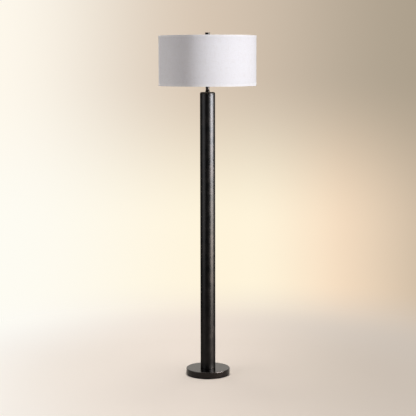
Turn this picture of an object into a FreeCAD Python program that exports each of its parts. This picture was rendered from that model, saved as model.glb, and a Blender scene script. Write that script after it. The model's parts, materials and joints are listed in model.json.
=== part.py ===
import FreeCAD, Part
import math
import os
import Sketcher
from types import SimpleNamespace

# Column floor lamp with a drum shade, in millimetres.
# The origin is on the floor under the column's axis, +Z is up and the front is toward -Y.

SIZES = (
    # Floor pad and base
    ("floor_pad_inset", 3.75, "foam pad's side inside the base's side"),
    ("floor_pad_thickness", 4.5, ""),
    ("floor_pad_chamfer", 0.8, "lower outer edge of the pad"),
    ("base_diameter", 205.5, "outside of the base shell"),
    ("base_height", 26.5, "base shell, from the pad to its top"),
    ("base_edge_radius", 2.5, "rounding of the base's top edge"),
    ("base_wall", 1.5, "sheet of the base shell"),
    ("weight_gap", 0.4, "round the cast weight inside the shell"),
    ("recess_diameter", 44.0, "in the weight's underside, for the nut"),
    ("recess_depth", 12.0, ""),
    ("channel_width", 14.0, "in the weight's underside, from the recess to the bushing"),
    ("channel_depth", 18.0, ""),
    # Cord bushing in the rear of the base
    ("bushing_bore", 7.0, "the way for the lead"),
    ("bushing_diameter", 10.0, "body of the bushing"),
    ("bushing_flange", 14.0, "diameter of its outer flange"),
    ("bushing_flange_thickness", 1.6, ""),
    ("bushing_depth", 11.0, "how far its body reaches into the base"),
    ("bushing_level", 11.0, "its axis above the base's underside"),
    ("bushing_fit", 0.1, "radial, in the shell's hole"),
    # Threaded pipe and its lower nut
    ("pipe_diameter", 10.0, "outside of the threaded pipe"),
    ("pipe_bore", 7.0, ""),
    ("pipe_fit", 0.15, "radial, in the plain holes that it passes"),
    ("thread_fit", 0.05, "radial, in threaded holes"),
    ("pipe_tail", 1.5, "pipe below the nut"),
    ("washer_diameter", 28.0, ""),
    ("washer_thickness", 1.6, ""),
    ("lock_washer_diameter", 17.0, ""),
    ("lock_washer_thickness", 1.8, ""),
    ("lock_washer_split", 1.5, "width of the split"),
    ("nut_across_flats", 14.3, ""),
    ("nut_thickness", 5.0, ""),
    # Column
    ("column_diameter", 70.0, ""),
    ("tube_length", 1280.5, "tube between the foot and the cap"),
    ("tube_wall", 1.2, ""),
    ("seam_chamfer", 0.4, "at both ends of the tube and on the cap's lower edge"),
    ("foot_height", 4.5, "visible ring of the column's foot"),
    ("foot_edge_radius", 1.8, ""),
    ("cap_height", 12.0, "visible part of the column's cap"),
    ("cap_edge_radius", 7.0, ""),
    ("cap_web", 4.0, "top of the cap"),
    ("spigot_height", 14.0, "foot and cap inside the tube"),
    ("spigot_wall", 2.5, ""),
    ("spigot_fit", 0.15, "radial, in the tube"),
    # Neck
    ("neck_height", 30.0, ""),
    ("neck_foot_diameter", 20.5, ""),
    ("neck_waist_diameter", 16.6, ""),
    ("neck_top_diameter", 20.0, ""),
    ("neck_lip", 3.0, "straight rim at each end of the neck"),
    ("neck_edge_radius", 0.8, ""),
    # Harp saddle
    ("saddle_thickness", 1.6, ""),
    ("saddle_width", 12.0, ""),
    ("saddle_flat", 17.0, "half length of its flat middle"),
    ("shoulder_level", 8.0, "top of the shoulders, above the saddle's underside"),
    ("shoulder_overhang", 4.4, "shoulder outside the sleeve's axis"),
    ("tongue_height", 9.5, "above the shoulder"),
    ("tongue_width", 3.6, ""),
    ("tongue_thickness", 1.2, ""),
    # Harp
    ("harp_height", 201.0, "from its feet to its seat"),
    ("harp_wire", 4.0, "diameter of the wire"),
    ("harp_foot_spread", 28.8, "axis of each leg from the lamp's axis"),
    ("harp_straight", 32.0, "straight leg, which the sleeve slides on"),
    ("harp_half_width", 58.0, "axis of the wire at the widest place"),
    ("harp_widest_level", 95.0, "above its feet"),
    ("harp_flare_radius", 30.0, "where the straight leg turns out"),
    ("harp_shoulder_radius", 34.0, "under the boss"),
    ("harp_foot_height", 12.0, "flattened end of each leg"),
    ("harp_foot_width", 5.6, ""),
    ("harp_foot_thickness", 2.0, ""),
    ("harp_foot_gap", 0.3, "between a foot and its tongue and shoulder"),
    ("boss_diameter", 16.0, "turned boss that joins the two wires"),
    ("boss_height", 5.4, ""),
    ("sleeve_bore", 6.8, ""),
    ("sleeve_diameter", 8.6, ""),
    ("sleeve_length", 14.0, ""),
    # Swivel post on the harp
    ("journal_diameter", 7.0, "hole in the boss"),
    ("journal_fit", 0.05, "radial running clearance"),
    ("swivel_gap", 0.3, "between parts that turn or lift off each other"),
    ("post_head_diameter", 11.0, "head under the boss"),
    ("post_head_height", 1.8, ""),
    ("post_flange_diameter", 18.0, "seat of the spider"),
    ("post_flange_height", 3.0, ""),
    ("post_thread_diameter", 6.3, ""),
    ("post_thread_length", 14.0, "above the flange"),
    # Shade
    ("shade_diameter", 450.0, "outside, over the hems"),
    ("shade_height", 228.0, ""),
    ("hem_thickness", 0.6, ""),
    ("top_hem_height", 9.0, ""),
    ("bottom_hem_height", 11.0, ""),
    ("hem_turn_in", 6.0, "hem inside the shade"),
    ("cloth_thickness", 0.6, "linen cover"),
    ("liner_thickness", 0.5, "stiff plastic liner"),
    ("layer_gap", 0.03, "between the layers of the shade"),
    ("ring_wire", 3.2, "diameter of the wire rings and arms"),
    ("spider_drop", 14.2, "underside of the hub below the shade's top"),
    ("hub_diameter", 28.0, ""),
    ("hub_thickness", 1.6, ""),
    ("hub_hole", 10.5, ""),
    ("arm_bend_radius", 5.0, ""),
    # Finial
    ("finial_head_diameter", 22.0, ""),
    ("finial_head_height", 10.6, ""),
    ("finial_stem_diameter", 13.2, ""),
    ("finial_stem_height", 16.4, ""),
    ("finial_foot_diameter", 17.0, ""),
    ("finial_foot_height", 2.0, ""),
    ("finial_edge_radius", 1.2, ""),
    ("insert_diameter", 10.0, "brass insert"),
    ("insert_height", 10.0, ""),
    # Socket
    ("socket_hub_diameter", 16.0, ""),
    ("socket_hub_height", 6.0, ""),
    ("socket_cap_diameter", 34.6, ""),
    ("socket_cap_height", 20.0, ""),
    ("socket_ledge", 11.0, "where the shell and body stand, above the cap's underside"),
    ("socket_wall", 0.8, ""),
    ("socket_fit", 0.1, "radial, between the nested pieces"),
    ("set_screw_diameter", 3.0, ""),
    ("shell_length", 52.0, ""),
    ("shell_wall", 0.6, ""),
    ("liner_wall", 0.9, "paper liner"),
    ("liner_shortfall", 1.5, "liner below the shell's rim"),
    ("socket_body_diameter", 28.0, ""),
    ("socket_body_height", 26.0, ""),
    ("screw_shell_bore", 26.7, ""),
    ("screw_shell_wall", 0.5, ""),
    ("screw_shell_height", 23.0, ""),
    ("centre_contact_diameter", 7.0, ""),
    ("centre_contact_height", 3.0, ""),
    ("centre_contact_rounding", 1.0, "of its upper edge"),
    ("centre_hole", 12.0, "in the screw shell's floor"),
    ("terminal_head_diameter", 5.6, ""),
    ("terminal_head_height", 2.4, ""),
    # Turn switch
    ("spindle_level", 16.0, "above the socket body's underside"),
    ("spindle_diameter", 3.8, ""),
    ("spindle_fit", 0.05, "radial running clearance in the body"),
    ("spindle_clearance", 0.5, "radial, in the shell and liner"),
    ("spindle_tail", 2.0, "inner end in front of the lamp's axis"),
    ("rotor_depth", 4.4, "inner end of the rotor's well, in front of the lamp's axis"),
    ("rotor_width", 7.6, "square rotor"),
    ("rotor_length", 6.0, ""),
    ("rotor_clearance", 0.5, ""),
    ("knob_diameter", 13.0, ""),
    ("knob_length", 14.0, ""),
    ("knob_standoff", 3.0, "from the socket cap's side"),
    ("knob_flute_diameter", 2.4, ""),
    ("knob_end_diameter", 11.05, "the knob tapers to its outer end"),
    # Bulb
    ("contact_gap", 0.3, "between the bulb's and the socket's contacts"),
    ("bulb_contact_diameter", 9.0, ""),
    ("bulb_contact_height", 2.2, ""),
    ("contact_shoulder_diameter", 6.3, "of the contact's domed underside"),
    ("contact_shoulder_level", 0.66, ""),
    ("bulb_insulator_height", 4.0, ""),
    ("bulb_cap_diameter", 26.0, ""),
    ("bulb_cap_height", 20.0, ""),
    ("bulb_cap_wall", 0.5, ""),
    ("bulb_collar_height", 28.0, ""),
    ("bulb_collar_middle", 31.74, "diameter halfway up the collar's flare"),
    ("bulb_rim_diameter", 43.0, "where the globe meets the collar"),
    ("bulb_diameter", 60.0, ""),
    ("bulb_wall", 1.0, ""),
)

KNOB_FLUTES = 12
SPIDER_ARMS = 3

# Sketcher's numbers for the sketch's own origin, the two ends of an edge and a circle's centre.
ORIGIN = -1
START = 1
END = 2
CENTRE = 3


class Measure:
    """A length worked out from the sheet, as text for expressions and as a number for first places."""

    def __init__(self, text, number):
        self.text = text
        self.number = float(number)

    def __add__(self, other):
        return combine(self, "+", other, self.number + measured(other).number)

    def __sub__(self, other):
        return combine(self, "-", other, self.number - measured(other).number)

    def __rsub__(self, other):
        return measured(other) - self

    def __mul__(self, other):
        return combine(self, "*", other, self.number * measured(other).number)

    def __truediv__(self, other):
        return combine(self, "/", other, self.number / measured(other).number)

    def __neg__(self):
        return measured(0) - self


def measured(value):
    """A value as a Measure, also where it is a plain number."""
    if isinstance(value, Measure):
        return value
    return Measure(repr(float(value)), value)


def combine(first, sign, second, number):
    """Two lengths joined by a sign."""
    return Measure(f"({first.text} {sign} {measured(second).text})", number)


def root(value):
    """Square root of a Measure."""
    return Measure(f"sqrt({value.text})", math.sqrt(value.number))


doc = FreeCAD.newDocument("ColumnFloorLamp")
sheet = doc.addObject("Spreadsheet::Sheet", "Sizes")
for row, (alias, number, note) in enumerate(SIZES, start=1):
    sheet.set(f"A{row}", alias.replace("_", " "))
    sheet.set(f"B{row}", str(number))
    sheet.setAlias(f"B{row}", alias)
    sheet.set(f"C{row}", note)
doc.recompute()
size = SimpleNamespace(**{alias: Measure(f"Sizes.{alias}", number) for alias, number, _ in SIZES})


# ---------------------------------------------------------------- how pieces are drawn and made

def new_piece(label, level=None):
    """An empty body, which stands at a level above the floor."""
    body = doc.addObject("PartDesign::Body", label)
    body.Label = label
    if level is not None:
        body.setExpression("Placement.Base.z", level.text)
    return body


def datum(body, role):
    """One of the body's own planes or axes."""
    return next(item for item in body.Origin.OriginFeatures if item.Role == role)


def new_sketch(body, name, plane):
    """An empty sketch on one of the body's own planes."""
    sketch = body.newObject("Sketcher::SketchObject", name)
    sketch.AttachmentSupport = [(datum(body, plane), "")]
    sketch.MapMode = "FlatFace"
    return sketch


class Holds:
    """The constraints of one sketch, gathered first and solved together."""

    def __init__(self, sketch):
        self.sketch = sketch
        self.constraints = []
        self.bound = []

    def join(self, kind, *places):
        """Join points or edges."""
        self.constraints.append(Sketcher.Constraint(kind, *places))

    def bind(self, kind, places, value):
        """Add a constraint whose size follows the sheet."""
        self.bound.append((len(self.constraints), value))
        self.constraints.append(Sketcher.Constraint(kind, *places, value.number))

    def hold(self, edge, end, across, up):
        """Hold one point at its two distances from the sketch's origin."""
        self.bind("DistanceX", (ORIGIN, START, edge, end), across)
        self.bind("DistanceY", (ORIGIN, START, edge, end), up)

    def apply(self):
        """Give the sketch its constraints and tie their sizes to the sheet."""
        self.sketch.addConstraint(self.constraints)
        for number, value in self.bound:
            self.sketch.renameConstraint(number, f"held_{number}")
            self.sketch.setExpression(f"Constraints.held_{number}", value.text)


def place(across, up):
    """The point of a sketch at two Measures."""
    return FreeCAD.Vector(across.number, up.number, 0)


def arc_through(start, through, end):
    """Arc from start to end through a third point, drawn anticlockwise whichever way it runs."""
    middle = Part.Arc(start, through, end).toShape().Curve.Center
    radius = middle.distanceToPoint(start)
    if (through - start).cross(end - through).z < 0:
        start, end = end, start
    first = math.atan2(start.y - middle.y, start.x - middle.x)
    last = math.atan2(end.y - middle.y, end.x - middle.x)
    if last < first:
        last += 2 * math.pi
    circle = Part.Circle(middle, FreeCAD.Vector(0, 0, 1), radius)
    return Part.ArcOfCircle(circle, first, last)


def far_end(sketch, edge, target):
    """Which end of an edge lies at a point."""
    to_end = sketch.getPoint(edge, END).distanceToPoint(target)
    to_start = sketch.getPoint(edge, START).distanceToPoint(target)
    return END if to_end <= to_start else START


def add_edges(sketch, corners, closed):
    """Draw lines and arcs from corner to corner.

    A corner is (across, up), or (across, up, through across, through up) where an arc leads to it.
    """
    corners = [[measured(value) for value in corner] for corner in corners]
    holds = Holds(sketch)
    arrivals = []
    for index in range(0 if closed else 1, len(corners)):
        before = place(*corners[index - 1][:2])
        here = corners[index]
        target = place(*here[:2])
        if len(here) == 4:
            through = place(*here[2:])
            edge = sketch.addGeometry(arc_through(before, through, target), False)
            mark = sketch.addGeometry(Part.Point(through), True)
            holds.hold(mark, START, here[2], here[3])
            holds.join("PointOnObject", mark, START, edge)
        else:
            edge = sketch.addGeometry(Part.LineSegment(before, target), False)
        arrival = far_end(sketch, edge, target)
        holds.hold(edge, arrival, here[0], here[1])
        arrivals.append((edge, arrival))
    if not closed:
        edge, arrival = arrivals[0]
        holds.hold(edge, START + END - arrival, corners[0][0], corners[0][1])
    joined = arrivals if closed else arrivals[1:]
    previous = arrivals[-1:] + arrivals[:-1] if closed else arrivals[:-1]
    for (edge, arrival), (edge_before, arrival_before) in zip(joined, previous):
        holds.join("Coincident", edge_before, arrival_before, edge, START + END - arrival)
    holds.apply()


def outline(body, name, plane, corners):
    """A closed outline on one of the body's planes."""
    sketch = new_sketch(body, name, plane)
    add_edges(sketch, corners, closed=True)
    return sketch


def route(body, name, plane, corners):
    """An open path on one of the body's planes."""
    sketch = new_sketch(body, name, plane)
    add_edges(sketch, corners, closed=False)
    return sketch


def circles(body, name, plane, rings):
    """Circles on one of the body's planes, each (across, up, radius)."""
    sketch = new_sketch(body, name, plane)
    holds = Holds(sketch)
    for across, up, radius in rings:
        across = measured(across)
        up = measured(up)
        circle = Part.Circle(place(across, up), FreeCAD.Vector(0, 0, 1), radius.number)
        edge = sketch.addGeometry(circle, False)
        holds.hold(edge, CENTRE, across, up)
        holds.bind("Radius", (edge,), radius)
    holds.apply()
    return sketch


def turned(body, sketch, axis="V_Axis"):
    """Revolve an outline about one of its sketch's axes."""
    feature = body.newObject("PartDesign::Revolution", f"{sketch.Name}_turned")
    feature.Profile = sketch
    feature.ReferenceAxis = (sketch, [axis])
    return feature


def padded(body, sketch, length, symmetric=False, reverse=False):
    """Pad an outline, to one side of its plane or evenly to both."""
    feature = body.newObject("PartDesign::Pad", f"{sketch.Name}_pad")
    feature.Profile = sketch
    feature.SideType = "Symmetric" if symmetric else "One side"
    feature.Reversed = reverse
    feature.setExpression("Length", length.text)
    return feature


def pocketed(body, sketch, reverse=False, depth=None):
    """Cut an outline out of the body, to a depth or through all, and make sure that it cut."""
    doc.recompute()
    volume_before = body.Shape.Volume
    feature = body.newObject("PartDesign::Pocket", f"{sketch.Name}_pocket")
    feature.Profile = sketch
    feature.Reversed = reverse
    if depth is None:
        feature.Type = "ThroughAll"
    else:
        feature.setExpression("Length", depth.text)
    doc.recompute()
    if body.Shape.Volume >= volume_before:
        raise ValueError(f"{sketch.Name} cuts nothing from {body.Label}")
    return feature


def swept(body, section, path):
    """Sweep a section along a path."""
    feature = body.newObject("PartDesign::AdditivePipe", f"{path.Name}_sweep")
    feature.Profile = section
    feature.Spine = (path, [])
    return feature


def ring_edges(feature, rings):
    """Names of the circular edges about Z that lie at the (radius, level) pairs given."""
    found = []
    for number, edge in enumerate(feature.Shape.Edges, start=1):
        curve = edge.Curve
        if not isinstance(curve, Part.Circle):
            continue
        for radius, level in rings:
            same_radius = math.isclose(curve.Radius, measured(radius).number, abs_tol=1e-4)
            same_level = math.isclose(curve.Center.z, measured(level).number, abs_tol=1e-4)
            if same_radius and same_level:
                found.append(f"Edge{number}")
    return found


def edged(body, kind, rings, length):
    """Round or chamfer circular edges of the body's last feature."""
    doc.recompute()
    base = body.Tip
    feature = body.newObject(f"PartDesign::{kind}", f"{body.Name}_{kind.lower()}")
    feature.Base = (base, ring_edges(base, rings))
    feature.setExpression("Radius" if kind == "Fillet" else "Size", length.text)
    return feature


def repeated(body, features, count):
    """Repeat features evenly about the body's Z axis."""
    pattern = body.newObject("PartDesign::PolarPattern", f"{body.Name}_round")
    pattern.Originals = features
    pattern.Axis = (datum(body, "Z_Axis"), [""])
    pattern.Angle = 360
    pattern.Occurrences = count
    body.Tip = pattern
    return pattern


def mirrored_in(body, features):
    """Repeat features on the other side of the body's YZ plane."""
    pattern = body.newObject("PartDesign::Mirrored", f"{body.Name}_mirrored")
    pattern.Originals = features
    pattern.MirrorPlane = (datum(body, "YZ_Plane"), [""])
    body.Tip = pattern
    return pattern


def other_hand(label, source):
    """The same piece on the lamp's other side."""
    copy = doc.addObject("Part::Mirroring", label)
    copy.Label = label
    copy.Source = source
    copy.Normal = (1, 0, 0)
    return copy


def ring_piece(label, level, bore, outside, height):
    """A plain turned ring: bore and outside radius, and height."""
    body = new_piece(label, level)
    corners = [(bore, 0), (outside, 0), (outside, height), (bore, height)]
    turned(body, outline(body, f"{label}_profile", "XZ_Plane", corners))
    return body


# ---------------------------------------------------------------- levels and radii that pieces share

base_bottom = size.floor_pad_thickness
base_top = base_bottom + size.base_height
tube_bottom = base_top + size.foot_height
cap_bottom = tube_bottom + size.tube_length
neck_bottom = cap_bottom + size.cap_height
saddle_bottom = neck_bottom + size.neck_height
socket_bottom = saddle_bottom + size.saddle_thickness
shell_bottom = socket_bottom + size.socket_ledge
spindle_height = shell_bottom + size.spindle_level
screw_shell_bottom = shell_bottom + size.socket_body_height
bulb_bottom = screw_shell_bottom + size.centre_contact_height + size.contact_gap
harp_bottom = saddle_bottom + size.shoulder_level + size.harp_foot_gap
harp_top = harp_bottom + size.harp_height
boss_bottom = harp_top - size.boss_height
post_flange_bottom = harp_top + size.swivel_gap
post_flange_top = post_flange_bottom + size.post_flange_height
hub_bottom = post_flange_top + size.swivel_gap
finial_bottom = hub_bottom + size.hub_thickness + size.swivel_gap
shade_bottom = hub_bottom + size.spider_drop - size.shade_height

recess_ceiling = base_bottom + size.recess_depth
washer_bottom = recess_ceiling - size.washer_thickness
lock_washer_bottom = washer_bottom - size.lock_washer_thickness
nut_bottom = lock_washer_bottom - size.nut_thickness
pipe_bottom = nut_bottom - size.pipe_tail
pipe_top = socket_bottom + size.socket_hub_height

pipe_hole = size.pipe_diameter / 2 + size.pipe_fit
threaded_hole = size.pipe_diameter / 2 + size.thread_fit
column_radius = size.column_diameter / 2
spigot_radius = column_radius - size.tube_wall - size.spigot_fit
base_radius = size.base_diameter / 2

socket_cap_radius = size.socket_cap_diameter / 2
shell_radius = socket_cap_radius - size.socket_wall - size.socket_fit
liner_radius = shell_radius - size.shell_wall - size.socket_fit
socket_body_radius = size.socket_body_diameter / 2
spindle_radius = size.spindle_diameter / 2
spindle_opening = spindle_radius + size.spindle_clearance

post_hole = size.post_thread_diameter / 2 + size.swivel_gap
hem_inside = size.shade_diameter / 2 - size.hem_thickness
cloth_radius = hem_inside - size.layer_gap
liner_outside = cloth_radius - size.cloth_thickness - size.layer_gap
liner_inside = liner_outside - size.liner_thickness
ring_radius = liner_inside - size.layer_gap - size.ring_wire / 2
turn_in_radius = ring_radius - size.ring_wire / 2 - size.layer_gap


# ---------------------------------------------------------------- base

def make_floor_pad():
    """Foam pad that the lamp stands on."""
    radius = base_radius - size.floor_pad_inset
    thickness = size.floor_pad_thickness
    body = new_piece("floor_pad")
    corners = [(0, 0), (radius, 0), (radius, thickness), (0, thickness)]
    turned(body, outline(body, "floor_pad_profile", "XZ_Plane", corners))
    edged(body, "Chamfer", [(radius, 0)], size.floor_pad_chamfer)
    return body


def make_base_shell():
    """Pressed steel cover of the base, open below, with the bushing's hole in its rear wall."""
    height = size.base_height
    ceiling = height - size.base_wall
    inside = base_radius - size.base_wall
    body = new_piece("base_shell", base_bottom)
    corners = [(pipe_hole, height), (base_radius, height), (base_radius, 0),
               (inside, 0), (inside, ceiling), (pipe_hole, ceiling)]
    turned(body, outline(body, "base_shell_profile", "XZ_Plane", corners))
    edged(body, "Fillet", [(base_radius, height)], size.base_edge_radius)
    hole_radius = size.bushing_diameter / 2 + size.bushing_fit
    hole = circles(body, "bushing_hole", "XZ_Plane", [(0, size.bushing_level, hole_radius)])
    pocketed(body, hole)
    return body


def make_base_weight():
    """Cast iron weight, with a nut recess and a channel for the lead in its underside."""
    height = size.base_height - size.base_wall
    radius = base_radius - size.base_wall - size.weight_gap
    body = new_piece("base_weight", base_bottom)
    recess = size.recess_diameter / 2
    corners = [(recess, 0), (radius, 0), (radius, height), (pipe_hole, height),
               (pipe_hole, size.recess_depth), (recess, size.recess_depth)]
    turned(body, outline(body, "base_weight_profile", "XZ_Plane", corners))
    edged(body, "Chamfer", [(radius, height)], size.base_edge_radius)
    half = size.channel_width / 2
    channel = [(-half, 0), (half, 0), (half, base_radius), (-half, base_radius)]
    sketch = outline(body, "lead_channel", "XY_Plane", channel)
    pocketed(body, sketch, reverse=True, depth=size.channel_depth)
    return body


def make_cord_bushing():
    """Flanged bushing in the base's rear wall, turned about Y."""
    body = new_piece("cord_bushing", base_bottom + size.bushing_level)
    bore = size.bushing_bore / 2
    outside = size.bushing_diameter / 2
    flange = size.bushing_flange / 2
    tip = base_radius + size.bushing_flange_thickness
    tail = base_radius - size.bushing_depth
    corners = [(tail, bore), (tip, bore), (tip, flange), (base_radius, flange),
               (base_radius, outside), (tail, outside)]
    turned(body, outline(body, "cord_bushing_profile", "YZ_Plane", corners), "H_Axis")
    return body


def make_lower_nut():
    """Hexagon nut that clamps the base, the column and the neck on the pipe."""
    body = new_piece("lower_nut", nut_bottom)
    corner_radius = size.nut_across_flats / math.sqrt(3)
    corners = []
    for corner in range(6):
        turn = math.radians(60 * corner)
        corners.append((corner_radius * math.cos(turn), corner_radius * math.sin(turn)))
    hexagon = outline(body, "nut_hexagon", "XY_Plane", corners)
    padded(body, hexagon, size.nut_thickness)
    hole = circles(body, "nut_hole", "XY_Plane", [(0, 0, threaded_hole)])
    pocketed(body, hole, reverse=True)
    return body


def make_lock_washer():
    """Split lock washer between the nut and the washer."""
    radius = size.lock_washer_diameter / 2
    thickness = size.lock_washer_thickness
    body = ring_piece("lower_lock_washer", lock_washer_bottom, pipe_hole, radius, thickness)
    half = size.lock_washer_split / 2
    split = [(0, -half), (radius * 2, -half), (radius * 2, half), (0, half)]
    pocketed(body, outline(body, "washer_split", "XY_Plane", split), reverse=True)
    return body


def make_pipe_fittings():
    """Washer under the weight, and the long threaded pipe."""
    washer_radius = size.washer_diameter / 2
    washer = ring_piece("lower_washer", washer_bottom, pipe_hole, washer_radius, size.washer_thickness)
    pipe_radius = size.pipe_diameter / 2
    pipe_length = pipe_top - pipe_bottom
    pipe = ring_piece("threaded_pipe", pipe_bottom, size.pipe_bore / 2, pipe_radius, pipe_length)
    return [washer, pipe]


# ---------------------------------------------------------------- column and neck

def make_column_foot():
    """Foot of the column: a visible ring with a spigot that centres the tube."""
    body = new_piece("column_foot", base_top)
    inside = spigot_radius - size.spigot_wall
    top = size.foot_height + size.spigot_height
    corners = [(pipe_hole, 0), (column_radius, 0), (column_radius, size.foot_height),
               (spigot_radius, size.foot_height), (spigot_radius, top), (inside, top),
               (inside, size.foot_height), (pipe_hole, size.foot_height)]
    turned(body, outline(body, "column_foot_profile", "XZ_Plane", corners))
    edged(body, "Fillet", [(column_radius, 0)], size.foot_edge_radius)
    return body


def make_column_tube():
    """Plain round tube, its ends lightly chamfered where the seams show."""
    inside = column_radius - size.tube_wall
    body = ring_piece("column_tube", tube_bottom, inside, column_radius, size.tube_length)
    edged(body, "Chamfer", [(column_radius, 0), (column_radius, size.tube_length)], size.seam_chamfer)
    return body


def make_column_cap():
    """Cap of the column: a rounded shoulder over a spigot in the tube."""
    body = new_piece("column_cap", cap_bottom - size.spigot_height)
    inside = spigot_radius - size.spigot_wall
    seam = size.spigot_height
    top = seam + size.cap_height
    ceiling = top - size.cap_web
    corners = [(inside, 0), (spigot_radius, 0), (spigot_radius, seam), (column_radius, seam),
               (column_radius, top), (pipe_hole, top), (pipe_hole, ceiling), (inside, ceiling)]
    turned(body, outline(body, "column_cap_profile", "XZ_Plane", corners))
    edged(body, "Fillet", [(column_radius, top)], size.cap_edge_radius)
    edged(body, "Chamfer", [(column_radius, seam)], size.seam_chamfer)
    return body


def make_neck():
    """Short spool between the column and the shade, waisted between two straight rims."""
    body = new_piece("neck", neck_bottom)
    height = size.neck_height
    foot = size.neck_foot_diameter / 2
    top = size.neck_top_diameter / 2
    waist = size.neck_waist_diameter / 2
    corners = [(pipe_hole, 0), (foot, 0), (foot, size.neck_lip),
               (top, height - size.neck_lip, waist, height / 2), (top, height), (pipe_hole, height)]
    turned(body, outline(body, "neck_profile", "XZ_Plane", corners))
    edged(body, "Fillet", [(foot, 0), (top, height)], size.neck_edge_radius)
    return body


# ---------------------------------------------------------------- harp

def make_harp_saddle():
    """Bent strap on the neck: a shoulder and a tongue at each side carry the harp."""
    body = new_piece("harp_saddle", saddle_bottom)
    thickness = size.saddle_thickness
    tip = size.harp_foot_spread + size.shoulder_overhang
    level = size.shoulder_level
    flat = size.saddle_flat
    corners = [(0, 0), (flat, 0), (flat + thickness, level - thickness), (tip, level - thickness),
               (tip, level), (flat, level), (flat - thickness, thickness), (0, thickness)]
    strap_outline = outline(body, "saddle_strap", "XZ_Plane", corners)
    strap = padded(body, strap_outline, size.saddle_width, symmetric=True)
    outer = size.harp_foot_spread - size.harp_foot_thickness / 2 - size.harp_foot_gap
    inner = outer - size.tongue_thickness
    tongue_top = level + size.tongue_height
    blade = [(inner, level), (outer, level), (outer, tongue_top), (inner, tongue_top)]
    tongue_outline = outline(body, "saddle_tongue", "XZ_Plane", blade)
    tongue = padded(body, tongue_outline, size.tongue_width, symmetric=True)
    mirrored_in(body, [strap, tongue])
    hole = circles(body, "saddle_hole", "XY_Plane", [(0, 0, pipe_hole)])
    pocketed(body, hole, reverse=True)
    return body


def harp_route():
    """Centre line of one harp wire, from the top of its foot to the boss: a leg and four tangent arcs.

    Each radius that isn't given follows from the arcs meeting without a kink.
    """
    leg = size.harp_foot_spread
    leg_top = size.harp_straight
    wide = size.harp_half_width
    wide_level = size.harp_widest_level
    wire_top = size.harp_height - size.boss_height / 2
    boss_side = size.boss_diameter / 2
    flare = size.harp_flare_radius
    shoulder = size.harp_shoulder_radius

    spread = wide - leg
    rise = wide_level - leg_top
    radii = (spread * spread + rise * rise) / (spread * 2)
    belly = radii - flare
    flare_across = leg + flare
    to_belly_across = (wide - belly - flare_across) / radii
    to_belly_up = rise / radii
    meet = (flare_across + flare * to_belly_across, leg_top + flare * to_belly_up)

    reach = wide - boss_side
    climb = wire_top - wide_level
    above = climb - shoulder
    side = (reach * reach + above * above - shoulder * shoulder) / ((reach - shoulder) * 2)
    shoulder_up = wire_top - shoulder
    outward_across = (boss_side - (wide - side)) / (side - shoulder)
    outward_up = above / (side - shoulder)
    turn = (boss_side + shoulder * outward_across, shoulder_up + shoulder * outward_up)

    flare_middle = halfway((flare_across, leg_top), flare, (leg, leg_top), meet)
    belly_middle = halfway((wide - belly, wide_level), belly, meet, (wide, wide_level))
    side_middle = halfway((wide - side, wide_level), side, (wide, wide_level), turn)
    shoulder_middle = halfway((boss_side, shoulder_up), shoulder, turn, (boss_side, wire_top))
    return [(leg, size.harp_foot_height), (leg, leg_top), (*meet, *flare_middle),
            (wide, wide_level, *belly_middle), (*turn, *side_middle),
            (boss_side, wire_top, *shoulder_middle)]


def halfway(centre, radius, start, end):
    """The middle of an arc about a centre, between its two ends."""
    across = (start[0] + end[0]) / 2 - centre[0]
    up = (start[1] + end[1]) / 2 - centre[1]
    distance = root(across * across + up * up)
    return (centre[0] + across * radius / distance, centre[1] + up * radius / distance)


def make_harp_wires():
    """Two mirrored wires, each with a flattened foot."""
    body = new_piece("harp_right_wire", harp_bottom)
    half = size.harp_foot_thickness / 2
    leg = size.harp_foot_spread
    height = size.harp_foot_height
    foot = [(leg - half, 0), (leg + half, 0), (leg + half, height), (leg - half, height)]
    padded(body, outline(body, "harp_foot", "XZ_Plane", foot), size.harp_foot_width, symmetric=True)
    path = route(body, "harp_path", "XZ_Plane", harp_route())
    section = circles(body, "harp_section", "XY_Plane", [(leg, 0, size.harp_wire / 2)])
    section.setExpression("AttachmentOffset.Base.z", height.text)
    swept(body, section, path)
    return [body, other_hand("harp_left_wire", body)]


def make_harp_boss():
    """Turned boss that joins the wires and holds the swivel post."""
    return ring_piece("harp_boss", boss_bottom, size.journal_diameter / 2, size.boss_diameter / 2,
                      size.boss_height)


def make_sleeves():
    """Two sleeves that lock the harp's feet to the saddle's tongues."""
    body = new_piece("right_sleeve", harp_bottom)
    leg = size.harp_foot_spread
    rings = [(leg, 0, size.sleeve_diameter / 2), (leg, 0, size.sleeve_bore / 2)]
    padded(body, circles(body, "sleeve_section", "XY_Plane", rings), size.sleeve_length)
    return [body, other_hand("left_sleeve", body)]


def make_harp_post():
    """Swivel post: a head under the boss, a journal, a flange for the spider and a threaded end."""
    body = new_piece("harp_post", boss_bottom - size.swivel_gap - size.post_head_height)
    head = size.post_head_diameter / 2
    journal = size.journal_diameter / 2 - size.journal_fit
    flange = size.post_flange_diameter / 2
    thread = size.post_thread_diameter / 2
    flange_level = size.post_head_height + size.swivel_gap * 2 + size.boss_height
    flange_top = flange_level + size.post_flange_height
    top = flange_top + size.post_thread_length
    corners = [(0, 0), (head, 0), (head, size.post_head_height), (journal, size.post_head_height),
               (journal, flange_level), (flange, flange_level), (flange, flange_top),
               (thread, flange_top), (thread, top), (0, top)]
    turned(body, outline(body, "harp_post_profile", "XZ_Plane", corners))
    return body


# ---------------------------------------------------------------- shade

def make_shade_layers():
    """Linen cover on its stiff liner, both open tubes between the hems."""
    height = size.shade_height - size.hem_thickness * 2
    level = shade_bottom + size.hem_thickness
    cloth_inside = cloth_radius - size.cloth_thickness
    cover = ring_piece("shade_cover", level, cloth_inside, cloth_radius, height)
    liner = ring_piece("shade_liner", level, liner_inside, liner_outside, height)
    return [cover, liner]


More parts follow.
